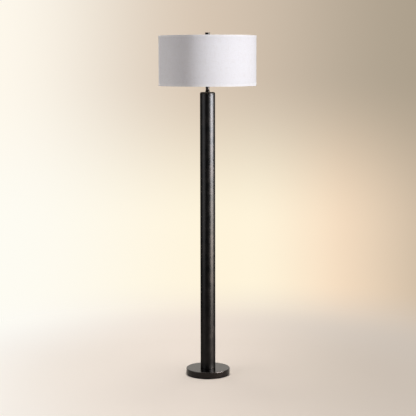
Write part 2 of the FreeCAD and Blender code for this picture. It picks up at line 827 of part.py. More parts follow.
def hem_profile(edge, outer_end, inner_end, lip):
    """Outline of a hem folded over one edge of the shade."""
    outside = size.shade_diameter / 2
    turned_in = turn_in_radius - size.hem_thickness
    return [(outside, edge), (outside, outer_end), (hem_inside, outer_end), (hem_inside, lip),
            (turn_in_radius, lip), (turn_in_radius, inner_end), (turned_in, inner_end), (turned_in, edge)]


def make_hems():
    """Cloth hems folded over the top and bottom edges of the shade."""
    height = size.shade_height
    fold = size.hem_thickness
    top = new_piece("shade_top_hem", shade_bottom)
    corners = hem_profile(height, height - size.top_hem_height, height - size.hem_turn_in, height - fold)
    turned(top, outline(top, "top_hem_profile", "XZ_Plane", corners))
    bottom = new_piece("shade_bottom_hem", shade_bottom)
    corners = hem_profile(measured(0), size.bottom_hem_height, size.hem_turn_in, fold)
    turned(bottom, outline(bottom, "bottom_hem_profile", "XZ_Plane", corners))
    return [top, bottom]


def make_ring(label, level):
    """Wire ring inside one edge of the shade."""
    body = new_piece(label, level)
    section = circles(body, f"{label}_section", "XZ_Plane", [(ring_radius, 0, size.ring_wire / 2)])
    turned(body, section)
    return body


def make_rings():
    """The two wire rings, each under its hem."""
    inset = size.hem_thickness + size.layer_gap + size.ring_wire / 2
    bottom = make_ring("shade_bottom_ring", shade_bottom + inset)
    top = make_ring("shade_top_ring", shade_bottom + size.shade_height - inset)
    return [bottom, top]


def make_spider_arms():
    """Arms from the hub to the top ring, each bent up at its outer end."""
    axis_level = size.hub_thickness / 2
    body = new_piece("spider_arms", hub_bottom)
    inset = size.hem_thickness + size.layer_gap + size.ring_wire
    ring_underside = size.spider_drop - inset
    bend = size.arm_bend_radius
    bend_start = ring_radius - bend
    corner = bend * math.sqrt(0.5)
    through = (bend_start + corner, axis_level + bend - corner)
    hub_side = size.hub_diameter / 2
    corners = [(hub_side, axis_level), (bend_start, axis_level), (ring_radius, axis_level + bend, *through),
               (ring_radius, ring_underside)]
    path = route(body, "arm_path", "YZ_Plane", corners)
    section = circles(body, "arm_section", "XZ_Plane", [(0, axis_level, size.ring_wire / 2)])
    section.setExpression("AttachmentOffset.Base.z", (-hub_side).text)
    arm = swept(body, section, path)
    repeated(body, [arm], SPIDER_ARMS)
    return body


def make_spider_hub():
    """Washer in the middle of the spider, which sits on the post's flange."""
    return ring_piece("spider_hub", hub_bottom, size.hub_hole / 2, size.hub_diameter / 2, size.hub_thickness)


# ---------------------------------------------------------------- finial

def make_finial():
    """Small dark drum on a stem and foot, hollow for its insert and the post."""
    body = new_piece("finial", finial_bottom)
    cavity = size.insert_diameter / 2 + size.journal_fit
    cavity_top = size.insert_height + size.swivel_gap
    well_top = size.post_thread_length
    foot = size.finial_foot_diameter / 2
    stem = size.finial_stem_diameter / 2
    head = size.finial_head_diameter / 2
    stem_top = size.finial_stem_height
    top = stem_top + size.finial_head_height
    corners = [(cavity, 0), (foot, 0), (foot, size.finial_foot_height), (stem, size.finial_foot_height),
               (stem, stem_top), (head, stem_top), (head, top), (0, top), (0, well_top),
               (post_hole, well_top), (post_hole, cavity_top), (cavity, cavity_top)]
    turned(body, outline(body, "finial_profile", "XZ_Plane", corners))
    edged(body, "Fillet", [(head, top), (head, stem_top)], size.finial_edge_radius)
    return body


def make_finial_insert():
    """Threaded brass insert pressed into the finial."""
    radius = size.insert_diameter / 2
    return ring_piece("finial_insert", finial_bottom, post_hole, radius, size.insert_height)


# ---------------------------------------------------------------- socket and switch

def make_socket_cap():
    """Pressed cap screwed on the pipe: a hub, a rounded flare and a rim round the shell."""
    body = new_piece("socket_cap", socket_bottom)
    hub = size.socket_hub_diameter / 2
    hub_height = size.socket_hub_height
    rim = socket_cap_radius
    inside = rim - size.socket_wall
    ledge = size.socket_ledge
    floor = ledge - size.socket_wall
    inner_hub = hub - size.socket_wall
    corners = [(threaded_hole, 0), (hub, 0), (hub, hub_height),
               (rim, floor, (hub + rim * 3) / 4, hub_height + (floor - hub_height) / 4),
               (rim, size.socket_cap_height), (inside, size.socket_cap_height), (inside, ledge),
               (liner_radius - size.liner_wall * 2, ledge), (inner_hub, hub_height + size.socket_wall),
               (threaded_hole, hub_height + size.socket_wall)]
    turned(body, outline(body, "socket_cap_profile", "XZ_Plane", corners))
    radius = size.set_screw_diameter / 2 + size.thread_fit
    hole = circles(body, "set_screw_hole", "XZ_Plane", [(0, hub_height / 2, radius)])
    pocketed(body, hole)
    return body


def make_set_screw():
    """Screw in the cap's hub that locks the socket on the pipe."""
    body = new_piece("socket_set_screw", socket_bottom)
    radius = size.set_screw_diameter / 2
    circle = circles(body, "set_screw_section", "XZ_Plane", [(0, size.socket_hub_height / 2, radius)])
    circle.setExpression("AttachmentOffset.Base.z", (-(size.pipe_diameter / 2)).text)
    length = size.socket_hub_diameter / 2 + size.set_screw_diameter - size.pipe_diameter / 2
    padded(body, circle, length, reverse=True)
    return body


def make_socket_tube(label, outside, wall, length):
    """One of the two nested tubes of the socket, with the spindle's opening in its front."""
    body = ring_piece(label, shell_bottom, outside - wall, outside, length)
    opening = circles(body, f"{label}_opening", "XZ_Plane", [(0, size.spindle_level, spindle_opening)])
    pocketed(body, opening, reverse=True)
    return body


def make_socket_tubes():
    """Metal shell and the paper liner inside it."""
    shell = make_socket_tube("socket_shell", shell_radius, size.shell_wall, size.shell_length)
    liner_length = size.shell_length - size.liner_shortfall
    liner = make_socket_tube("socket_liner", liner_radius, size.liner_wall, liner_length)
    return [shell, liner]


def make_socket_body():
    """Moulded body with the switch's well in front and a seat for a terminal screw at each side."""
    body = new_piece("socket_body", shell_bottom)
    height = size.socket_body_height
    corners = [(0, 0), (socket_body_radius, 0), (socket_body_radius, height), (0, height)]
    turned(body, outline(body, "socket_body_profile", "XZ_Plane", corners))
    level = size.spindle_level
    bearing = circles(body, "spindle_bearing", "XZ_Plane", [(0, level, spindle_radius + size.spindle_fit)])
    pocketed(body, bearing, reverse=True)
    well_radius = size.rotor_width * math.sqrt(0.5) + size.rotor_clearance
    well = circles(body, "rotor_well", "XZ_Plane", [(0, level, well_radius)])
    well.setExpression("AttachmentOffset.Base.z", size.rotor_depth.text)
    pocketed(body, well, reverse=True)
    seat_radius = size.terminal_head_diameter / 2 + size.socket_fit
    seat = circles(body, "terminal_seat", "YZ_Plane", [(0, level, seat_radius)])
    seat_depth = socket_body_radius - size.terminal_head_height
    seat.setExpression("AttachmentOffset.Base.z", seat_depth.text)
    cut = pocketed(body, seat, reverse=True)
    mirrored_in(body, [cut])
    return body


def make_terminal_screws():
    """Two terminal screws in the sides of the socket body."""
    body = new_piece("terminal_screws", shell_bottom)
    radius = size.terminal_head_diameter / 2
    head = circles(body, "terminal_head", "YZ_Plane", [(0, size.spindle_level, radius)])
    inner_end = socket_body_radius - size.terminal_head_height
    head.setExpression("AttachmentOffset.Base.z", inner_end.text)
    screw = padded(body, head, size.terminal_head_height)
    mirrored_in(body, [screw])
    return body


def make_screw_shell():
    """Thin cup that the bulb screws into."""
    body = new_piece("socket_screw_shell", screw_shell_bottom)
    inside = size.screw_shell_bore / 2
    outside = inside + size.screw_shell_wall
    floor = size.screw_shell_wall
    hole = size.centre_hole / 2
    corners = [(hole, 0), (outside, 0), (outside, size.screw_shell_height),
               (inside, size.screw_shell_height), (inside, floor), (hole, floor)]
    turned(body, outline(body, "screw_shell_profile", "XZ_Plane", corners))
    return body


def make_centre_contact():
    """Brass button under the bulb, domed on top."""
    body = new_piece("socket_centre_contact", screw_shell_bottom)
    radius = size.centre_contact_diameter / 2
    height = size.centre_contact_height
    corners = [(0, 0), (radius, 0), (radius, height), (0, height)]
    turned(body, outline(body, "centre_contact_profile", "XZ_Plane", corners))
    edged(body, "Fillet", [(radius, height)], size.centre_contact_rounding)
    return body


def make_switch():
    """Spindle, square rotor and fluted knob of the turn switch, all on one axis along Y."""
    knob_start = socket_cap_radius + size.knob_standoff
    knob_end = knob_start + size.knob_length
    spindle = new_piece("switch_spindle", spindle_height)
    circle = circles(spindle, "spindle_section", "XZ_Plane", [(0, 0, spindle_radius)])
    circle.setExpression("AttachmentOffset.Base.z", size.spindle_tail.text)
    spindle_length = knob_end - size.spindle_tail - size.knob_length / 4
    padded(spindle, circle, spindle_length)

    rotor = new_piece("switch_rotor", spindle_height)
    half = size.rotor_width / 2
    square = [(-half, -half), (half, -half), (half, half), (-half, half)]
    sketch = outline(rotor, "rotor_square", "XZ_Plane", square)
    sketch.setExpression("AttachmentOffset.Base.z", (size.rotor_depth + size.rotor_clearance).text)
    padded(rotor, sketch, size.rotor_length)
    pocketed(rotor, circles(rotor, "rotor_hole", "XZ_Plane", [(0, 0, spindle_radius)]), reverse=True)

    knob = new_piece("switch_knob", spindle_height)
    radius = size.knob_diameter / 2
    hollow = knob_end - size.knob_length / 4
    corners = [(-knob_start, spindle_radius), (-knob_start, radius), (-knob_end, size.knob_end_diameter / 2),
               (-knob_end, 0), (-hollow, 0), (-hollow, spindle_radius)]
    turned(knob, outline(knob, "knob_profile", "YZ_Plane", corners), "H_Axis")
    flute_radius = size.knob_flute_diameter / 2
    flute = circles(knob, "knob_flute", "XZ_Plane", [(0, radius + flute_radius / 3, flute_radius)])
    cut = pocketed(knob, flute, reverse=True)
    pattern = knob.newObject("PartDesign::PolarPattern", "knob_flutes")
    pattern.Originals = [cut]
    pattern.Axis = (datum(knob, "Y_Axis"), [""])
    pattern.Angle = 360
    pattern.Occurrences = KNOB_FLUTES
    knob.Tip = pattern
    return [spindle, rotor, knob]


# ---------------------------------------------------------------- bulb

def make_bulb():
    """Screw-in bulb: contact, insulator, cap, collar and globe, one on the other."""
    cap_radius = size.bulb_cap_diameter / 2
    contact_radius = size.bulb_contact_diameter / 2
    rim = size.bulb_rim_diameter / 2
    insulator_bottom = bulb_bottom + size.bulb_contact_height + size.contact_gap
    bulb_cap_bottom = insulator_bottom + size.bulb_insulator_height
    collar_bottom = bulb_cap_bottom + size.bulb_cap_height
    globe_bottom = collar_bottom + size.bulb_collar_height

    contact = new_piece("bulb_contact", bulb_bottom)
    height = size.bulb_contact_height
    shoulder = size.contact_shoulder_diameter / 2
    corners = [(0, 0), (contact_radius, height, shoulder, size.contact_shoulder_level), (0, height)]
    turned(contact, outline(contact, "bulb_contact_profile", "XZ_Plane", corners))

    insulator = new_piece("bulb_insulator", insulator_bottom)
    height = size.bulb_insulator_height
    corners = [(0, 0), (contact_radius, 0), (cap_radius, height), (0, height)]
    turned(insulator, outline(insulator, "bulb_insulator_profile", "XZ_Plane", corners))

    inside = cap_radius - size.bulb_cap_wall
    cap = ring_piece("bulb_cap", bulb_cap_bottom, inside, cap_radius, size.bulb_cap_height)

    collar = new_piece("bulb_collar", collar_bottom)
    height = size.bulb_collar_height
    corners = [(0, 0), (cap_radius, 0), (rim, height, size.bulb_collar_middle / 2, height / 2), (0, height)]
    turned(collar, outline(collar, "bulb_collar_profile", "XZ_Plane", corners))

    globe = new_piece("bulb_globe", globe_bottom)
    radius = size.bulb_diameter / 2
    middle = root(radius * radius - rim * rim)
    inner = radius - size.bulb_wall
    inner_rim = root(inner * inner - middle * middle)
    corners = [(rim, 0), (0, middle + radius, radius, middle), (0, middle + inner),
               (inner_rim, 0, inner, middle)]
    turned(globe, outline(globe, "bulb_globe_profile", "XZ_Plane", corners))
    return [contact, insulator, cap, collar, globe]


# ---------------------------------------------------------------- the lamp

pieces = [
    make_floor_pad(), make_base_shell(), make_base_weight(), make_cord_bushing(),
    make_lower_nut(), make_lock_washer(), *make_pipe_fittings(),
    make_column_foot(), make_column_tube(), make_column_cap(), make_neck(),
    make_harp_saddle(), *make_harp_wires(), make_harp_boss(), *make_sleeves(), make_harp_post(),
    *make_shade_layers(), *make_hems(), *make_rings(), make_spider_arms(), make_spider_hub(),
    make_finial(), make_finial_insert(),
    make_socket_cap(), make_set_screw(), *make_socket_tubes(), make_socket_body(),
    make_terminal_screws(), make_screw_shell(), make_centre_contact(), *make_switch(), *make_bulb(),
]
doc.recompute()

for item in doc.Objects:
    if "Invalid" in item.State or "Error" in item.State:
        raise ValueError(f"{item.Label} did not build: {item.State}")
for piece in pieces:
    if piece.Shape.isNull() or not piece.Shape.isValid():
        raise ValueError(f"{piece.Label} has no valid solid")

os.makedirs("parts", exist_ok=True)
for piece in pieces:
    piece.Shape.exportStep(f"parts/{piece.Label}.step")
    box = piece.Shape.BoundBox
    print(f"{piece.Label:24s} {len(piece.Shape.Solids)} solid(s) {piece.Shape.Volume:12.1f} mm3 "
          f"z {box.ZMin:8.2f} to {box.ZMax:8.2f}")
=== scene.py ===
"""Column floor lamp: the visible surfaces of every piece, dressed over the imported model.

Sizes in the classes' fields are millimetres. Meshes are metres, in the model's own frame:
X to the lamp's right, Y to its rear, Z up from the floor.
"""

import json
import logging
import math
from abc import ABC, abstractmethod
from dataclasses import dataclass, field
from enum import Enum
from typing import Sequence

import bmesh
import bpy
from mathutils import Matrix, Vector

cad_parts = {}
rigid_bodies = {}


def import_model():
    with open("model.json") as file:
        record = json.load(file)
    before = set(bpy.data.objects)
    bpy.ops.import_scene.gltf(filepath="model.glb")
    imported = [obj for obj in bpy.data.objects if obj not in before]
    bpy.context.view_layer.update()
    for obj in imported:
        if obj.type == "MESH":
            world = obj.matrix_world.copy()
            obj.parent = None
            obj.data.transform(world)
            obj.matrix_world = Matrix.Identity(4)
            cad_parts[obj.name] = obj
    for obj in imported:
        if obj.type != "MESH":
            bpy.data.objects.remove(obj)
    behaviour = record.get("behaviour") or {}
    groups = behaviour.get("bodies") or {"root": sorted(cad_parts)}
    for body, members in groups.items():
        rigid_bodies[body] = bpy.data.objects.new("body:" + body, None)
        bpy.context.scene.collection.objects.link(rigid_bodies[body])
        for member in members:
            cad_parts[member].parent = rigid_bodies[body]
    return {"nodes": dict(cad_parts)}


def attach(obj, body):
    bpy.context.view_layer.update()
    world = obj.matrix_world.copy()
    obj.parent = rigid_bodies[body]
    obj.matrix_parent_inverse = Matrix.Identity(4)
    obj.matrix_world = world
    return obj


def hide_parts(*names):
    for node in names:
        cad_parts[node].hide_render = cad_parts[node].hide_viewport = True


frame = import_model()
log = logging.getLogger("lamp")

Tree = bpy.types.NodeTree
Output = bpy.types.NodeSocket
Piece = bpy.types.Object
Place = tuple[float, float, float]

FULL_TURN = math.tau
SUPPORT = 0.3                      # mm, an extra loop beside each rounding keeps flat faces flat in the light
SHARP_ANGLE = math.radians(32.0)   # edges steeper than this stay crisp
MERGE = 0.002                      # mm, corners of loose triangles that lie nearer than this are one
ON_AXIS = 1e-6                     # mm, a profile point nearer to its axis than this is a pole
PLAIN_IOR = 1.5                    # rubber, paper, cotton and soda glass


class Body(str, Enum):
    """The bodies that pieces ride on."""

    STAND = "stand"
    SWITCH = "switch"
    CARRIAGE = "bulb_carriage"
    BULB = "bulb"
    HARP = "harp"
    RIGHT_SLEEVE = "right_sleeve"
    LEFT_SLEEVE = "left_sleeve"
    POST = "swivel_post"
    SHADE = "shade"
    INSERT = "finial_carriage"
    FINIAL = "finial"


class Grain(Enum):
    """Which way a metal's fine marks run: how much each axis counts, little where they are drawn out."""

    ALONG = (1.0, 1.0, 0.03)
    AROUND = (0.05, 0.05, 1.0)
    EVEN = (1.0, 1.0, 1.0)


# ---------------------------------------------------------------- small helpers

def mm(value: float) -> float:
    """Millimetres as metres."""
    return value / 1000.0


def linear(code: str) -> tuple[float, float, float, float]:
    """Turns an sRGB hex colour to linear light.

    Args:
        code: the colour as "#RRGGBB".

    Returns:
        Red, green, blue and a full alpha.
    """
    parts = [int(code[at:at + 2], 16) / 255.0 for at in (1, 3, 5)]
    light = [part / 12.92 if part <= 0.04045 else ((part + 0.055) / 1.055) ** 2.4 for part in parts]
    return light[0], light[1], light[2], 1.0


def feed(tree: Tree, node: bpy.types.Node, values: dict) -> None:
    """Sets or links a node's inputs.

    Args:
        tree: the node's tree.
        node: the node.
        values: by input name or number, a value or the output that feeds it.
    """
    for key, value in values.items():
        if isinstance(value, Output):
            tree.links.new(value, node.inputs[key])
        else:
            node.inputs[key].default_value = value


def add_node(tree: Tree, kind: str, inputs: dict | None = None, **settings) -> bpy.types.Node:
    """Adds a node with its settings, input values and links.

    Args:
        tree: the tree that gets the node.
        kind: the node's type name.
        inputs: by input name or number, a value or the output that feeds it.
        settings: the node's own properties.

    Returns:
        The new node.
    """
    node = tree.nodes.new(kind)
    for name, value in settings.items():
        setattr(node, name, value)
    feed(tree, node, inputs or {})
    return node


def on_circle(radius: float, angle: float, level: float) -> Place:
    """A point about the upright axis, in the unit of its radius and level."""
    return radius * math.cos(angle), radius * math.sin(angle), level


def arc_about(centre: Vector, start: Vector, end: Vector, steps: int) -> list[Vector]:
    """Points on an arc about a centre.

    Args:
        centre: the arc's centre.
        start: its first point.
        end: its last point.
        steps: how many parts it is cut into.

    Returns:
        The points, both ends included.
    """
    spoke = start - centre
    turn = spoke.angle_signed(end - centre)
    return [centre + Matrix.Rotation(-turn * step / steps, 2) @ spoke for step in range(steps + 1)]


# ---------------------------------------------------------------- finishes

@dataclass(frozen=True)
class Finish(ABC):
    """A procedural material, made once and shared by every piece that has it."""

    name: str
    slot: str

    def material(self) -> bpy.types.Material:
        """Makes the material, or finds the one already made.

        Returns:
            The material.
        """
        made = bpy.data.materials.get(self.name)
        if made is not None:
            return made
        made = bpy.data.materials.new(self.name)
        made.use_nodes = True
        tree = made.node_tree
        tree.nodes.clear()
        shader = add_node(tree, "ShaderNodeBsdfPrincipled")
        self.dress(tree, shader)
        add_node(tree, "ShaderNodeOutputMaterial", {"Surface": shader.outputs["BSDF"]})
        return made

    @abstractmethod
    def dress(self, tree: Tree, shader: bpy.types.Node) -> None:
        """Sets the shader up for this finish.

        Args:
            tree: the material's node tree.
            shader: its Principled shader.
        """


def noise_at(tree: Tree, size: float, stretch: Place = (1.0, 1.0, 1.0), detail: float = 3.0) -> Output:
    """Noise on the piece's own coordinates.

    Args:
        tree: the material's node tree.
        size: the width of its blotches in millimetres.
        stretch: how much each axis counts, below one where blotches are drawn out.
        detail: octaves of finer noise.

    Returns:
        The noise, from 0 to 1.
    """
    place = add_node(tree, "ShaderNodeTexCoord")
    scale = tuple(part / mm(size) for part in stretch)
    scaled = add_node(tree, "ShaderNodeMapping", {"Vector": place.outputs["Object"], "Scale": scale})
    return add_node(tree, "ShaderNodeTexNoise",
                    {"Vector": scaled.outputs["Vector"], "Scale": 1.0, "Detail": detail}).outputs["Fac"]


def spread(tree: Tree, value: Output, low: float, high: float,
           start: float = 0.3, end: float = 0.7) -> Output:
    """Maps a pattern to a range.

    Args:
        tree: the material's node tree.
        value: the pattern.
        low: what its start becomes.
        high: what its end becomes.
        start: where the range starts in the pattern.
        end: where the range ends in the pattern.

    Returns:
        The mapped value, held within the range.
    """
    return add_node(tree, "ShaderNodeMapRange", {"Value": value, "From Min": start, "From Max": end,
                                                 "To Min": low, "To Max": high},
                    interpolation_type="SMOOTHSTEP").outputs["Result"]


def blended(tree: Tree, share: Output, first: object, second: object) -> Output:
    """Mixes two colours.

    Args:
        tree: the material's node tree.
        share: how much of the second one, from 0 to 1.
        first: the first colour or the output that gives it.
        second: the second colour or the output that gives it.

    Returns:
        The mixed colour.
    """
    return add_node(tree, "ShaderNodeMix", {0: share, 6: first, 7: second}, data_type="RGBA").outputs[2]


def relief(tree: Tree, height: Output, depth: float, strength: float = 1.0) -> Output:
    """Bump from a height pattern.

    Args:
        tree: the material's node tree.
        height: the pattern, from 0 to 1.
        depth: its real depth in millimetres.
        strength: share of the bump that shows.

    Returns:
        The bent normal.
    """
    return add_node(tree, "ShaderNodeBump",
                    {"Height": height, "Distance": mm(depth), "Strength": strength}).outputs["Normal"]


@dataclass(frozen=True)
class PatinatedBronze(Finish):
    """Bronze blackened in a patina bath, then waxed: nearly black, with brown clouds and a satin gloss.

    Rounded edges are rubbed a little, so warmer metal shows there.
    """

    dark: str = "#171717"
    cloud: str = "#201E1D"
    rubbed: str = "#4C3E30"
    skin: str = "#8F8A86"            # the oxide dims a grazing reflection
    roughness: float = 0.38
    swing: float = 0.035             # how far the clouds change the roughness
    cloud_size: float = 38.0         # mm, as wide as the bath pooled
    mark_size: float = 1.6           # mm; steel wool's marks are 0.1 mm apart, drawn coarser to show
    mark_depth: float = 0.006
    mark_gloss: float = 0.02
    rub_size: float = 3.0            # mm, worn spots along an edge
    rub_range: tuple[float, float] = (0.42, 0.66)
    grain: Grain = Grain.ALONG
    wear: float = 0.30
    wax: float = 0.12
    wax_gloss: float = 0.3
    wax_ior: float = 1.5

    def dress(self, tree: Tree, shader: bpy.types.Node) -> None:
        """Clouds and rubbed edges in the colour, fine marks in the gloss. See Finish.dress."""
        clouds = noise_at(tree, self.cloud_size, detail=4.0)
        marks = noise_at(tree, self.mark_size, self.grain.value, detail=2.0)
        patina = blended(tree, spread(tree, clouds, 0.0, 1.0), linear(self.dark), linear(self.cloud))
        edge = add_node(tree, "ShaderNodeAttribute", attribute_name="edge").outputs["Fac"]
        broken = spread(tree, noise_at(tree, self.rub_size), 0.0, self.wear, *self.rub_range)
        rub = add_node(tree, "ShaderNodeMath", {0: edge, 1: broken}, operation="MULTIPLY").outputs[0]
        shine = add_node(tree, "ShaderNodeMath",
                         {0: spread(tree, clouds, self.roughness - self.swing, self.roughness + self.swing),
                          1: spread(tree, marks, -self.mark_gloss, self.mark_gloss)},
                         operation="ADD").outputs[0]
        feed(tree, shader, {
            "Metallic": 1.0,
            "Specular Tint": linear(self.skin),
            "Coat Weight": self.wax,
            "Coat Roughness": self.wax_gloss,
            "Coat IOR": self.wax_ior,
            "Base Color": blended(tree, rub, patina, linear(self.rubbed)),
            "Roughness": shine,
            "Normal": relief(tree, marks, self.mark_depth)})


@dataclass(frozen=True)
class WorkedMetal(Finish):
    """Plated, drawn or spun metal: one colour with fine marks from its making and a few dull spots."""

    colour: str = "#B9B6AE"
    dull: str = "#8F8C85"
    roughness: float = 0.25
    swing: float = 0.08
    spot_size: float = 7.0           # mm, dull spots about as wide as a fingertip's touch
    spot_range: tuple[float, float] = (0.45, 0.8)
    mark_size: float = 0.5           # mm; die and polishing lines are 0.05 mm apart, drawn coarser
    mark_depth: float = 0.006
    grain: Grain = Grain.EVEN

    def dress(self, tree: Tree, shader: bpy.types.Node) -> None:
        """Dull spots in the colour and gloss, marks as relief. See Finish.dress."""
        spots = noise_at(tree, self.spot_size, detail=4.0)
        marks = noise_at(tree, self.mark_size, self.grain.value, detail=2.0)
        feed(tree, shader, {
            "Metallic": 1.0,
            "Base Color": blended(tree, spread(tree, spots, 0.0, 1.0, *self.spot_range),
                                  linear(self.colour), linear(self.dull)),
            "Roughness": spread(tree, spots, self.roughness, self.roughness + self.swing),
            "Normal": relief(tree, marks, self.mark_depth)})


@dataclass(frozen=True)
class Moulded(Finish):
    """Moulded plastic or resin: even colour, a fine spark-eroded grain and faint flow marks."""

    colour: str = "#111111"
    flow: str = "#1A1A1A"
    roughness: float = 0.45
    swing: float = 0.04
    flow_size: float = 18.0          # mm, as wide as the melt spreads from its gate
    grain_size: float = 0.5          # mm; a spark-eroded mould's grain is 0.1 mm, drawn coarser
    grain_depth: float = 0.01
    ior: float = 1.49

    def dress(self, tree: Tree, shader: bpy.types.Node) -> None:
        """Flow marks in the colour, grain in gloss and relief. See Finish.dress."""
        flow = noise_at(tree, self.flow_size, detail=2.0)
        grain = noise_at(tree, self.grain_size, detail=1.0)
        feed(tree, shader, {
            "IOR": self.ior,
            "Base Color": blended(tree, spread(tree, flow, 0.0, 1.0), linear(self.colour), linear(self.flow)),
            "Roughness": spread(tree, grain, self.roughness - self.swing, self.roughness + self.swing),
            "Normal": relief(tree, grain, self.grain_depth)})


@dataclass(frozen=True)
class CastPaint(Finish):
    """Sand cast iron under thin paint: lumps as coarse as the sand, paint thinner on the high spots."""

    paint: str = "#2A2B2C"
    bare: str = "#5B5650"
    sand: float = 1.2                # mm; moulding sand is 0.3 mm, drawn as the clumps that it forms
    lump_depth: float = 0.25
    bare_range: tuple[float, float] = (0.62, 0.74)
    barest: float = 0.7              # how much of the paint is gone on the highest lumps
    roughness: tuple[float, float] = (0.5, 0.75)

    def dress(self, tree: Tree, shader: bpy.types.Node) -> None:
        """Lumps as relief, bare spots in colour and gloss. See Finish.dress."""
        lumps = noise_at(tree, self.sand)
        bare = spread(tree, lumps, 0.0, self.barest, *self.bare_range)
        feed(tree, shader, {
            "Metallic": bare,
            "Base Color": blended(tree, bare, linear(self.paint), linear(self.bare)),
            "Roughness": spread(tree, lumps, *self.roughness),
            "Normal": relief(tree, lumps, self.lump_depth)})


@dataclass(frozen=True)
class Foam(Finish):
    """Closed cell foam rubber: matt black with fine burst cells."""

    colour: str = "#141312"
    # the colour at the bottom of each cell's pit: painted shade
    pit: str = "#0C0B0B"
    cell: float = 0.9                # mm; real cells are 0.3 mm, drawn coarser
    cell_depth: float = 0.15
    wall: float = 0.7                # where a cell's wall starts, as a share of its width
    roughness: tuple[float, float] = (0.95, 0.8)

    def dress(self, tree: Tree, shader: bpy.types.Node) -> None:
        """Cells as relief, with painted shade darkening their pits. See Finish.dress."""
        place = add_node(tree, "ShaderNodeTexCoord").outputs["Object"]
        cells = add_node(tree, "ShaderNodeTexVoronoi", {"Vector": place, "Scale": 1.0 / mm(self.cell)})
        depth = cells.outputs["Distance"]
        feed(tree, shader, {
            "IOR": PLAIN_IOR,
            # Painted shade: each cell is darker in its pit than at its wall.
            "Base Color": blended(tree, spread(tree, depth, 0.0, 1.0, 0.0, self.wall), linear(self.pit),
                                  linear(self.colour)),
            "Roughness": spread(tree, depth, *self.roughness, 0.0, self.wall),
            "Normal": relief(tree, depth, self.cell_depth)})


@dataclass(frozen=True)
class FibrePaper(Finish):
    """Vulcanised fibre paper: long matted fibres in a tan sheet, dull with a faint calendered gloss."""

    colour: str = "#B79B6E"
    fibre: str = "#8F7650"
    fibre_size: float = 1.1          # mm; cotton fibres are 0.02 mm thick, drawn as the tufts that they form
    fibre_way: Place = (0.2, 0.2, 1.0)
    fibre_depth: float = 0.05
    roughness: tuple[float, float] = (0.6, 0.8)

    def dress(self, tree: Tree, shader: bpy.types.Node) -> None:
        """Fibres in colour and relief. See Finish.dress."""
        fibres = noise_at(tree, self.fibre_size, self.fibre_way, detail=5.0)
        feed(tree, shader, {
            "IOR": PLAIN_IOR,
            "Base Color": blended(tree, spread(tree, fibres, 0.0, 1.0), linear(self.colour),
                                  linear(self.fibre)),
            "Roughness": spread(tree, fibres, *self.roughness),
            "Normal": relief(tree, fibres, self.fibre_depth)})


@dataclass(frozen=True)
class Glassy(Finish):
    """Blown or pressed glass: smooth and glossy, with the slight waviness of hot working.

    The globe is frosted inside, so it looks like milk behind a clear skin.
    """

    colour: str = "#F3F0EA"
    cloud: str = "#E6E2DA"
    roughness: float = 0.12
    swing: float = 0.08
    skin: float = 0.3                # how much a clear outer skin adds to the gloss
    skin_gloss: float = 0.05
    glow: float = 0.0
    milk_depth: float = 4.0          # mm, how far light wanders in the frosting
    wave_size: float = 14.0          # mm, the waves that blowing leaves
    wave_depth: float = 0.05

    def dress(self, tree: Tree, shader: bpy.types.Node) -> None:
        """Clouds in the colour, waves as relief. See Finish.dress."""
        waves = noise_at(tree, self.wave_size, detail=1.0)
        feed(tree, shader, {
            "IOR": PLAIN_IOR,
            "Coat Weight": self.skin,
            "Coat Roughness": self.skin_gloss,
            "Subsurface Weight": self.glow,
            "Subsurface Scale": mm(self.milk_depth),
            "Base Color": blended(tree, spread(tree, waves, 0.0, 1.0), linear(self.colour),
                                  linear(self.cloud)),
            "Roughness": spread(tree, waves, self.roughness, self.roughness + self.swing),
            "Normal": relief(tree, waves, self.wave_depth)})


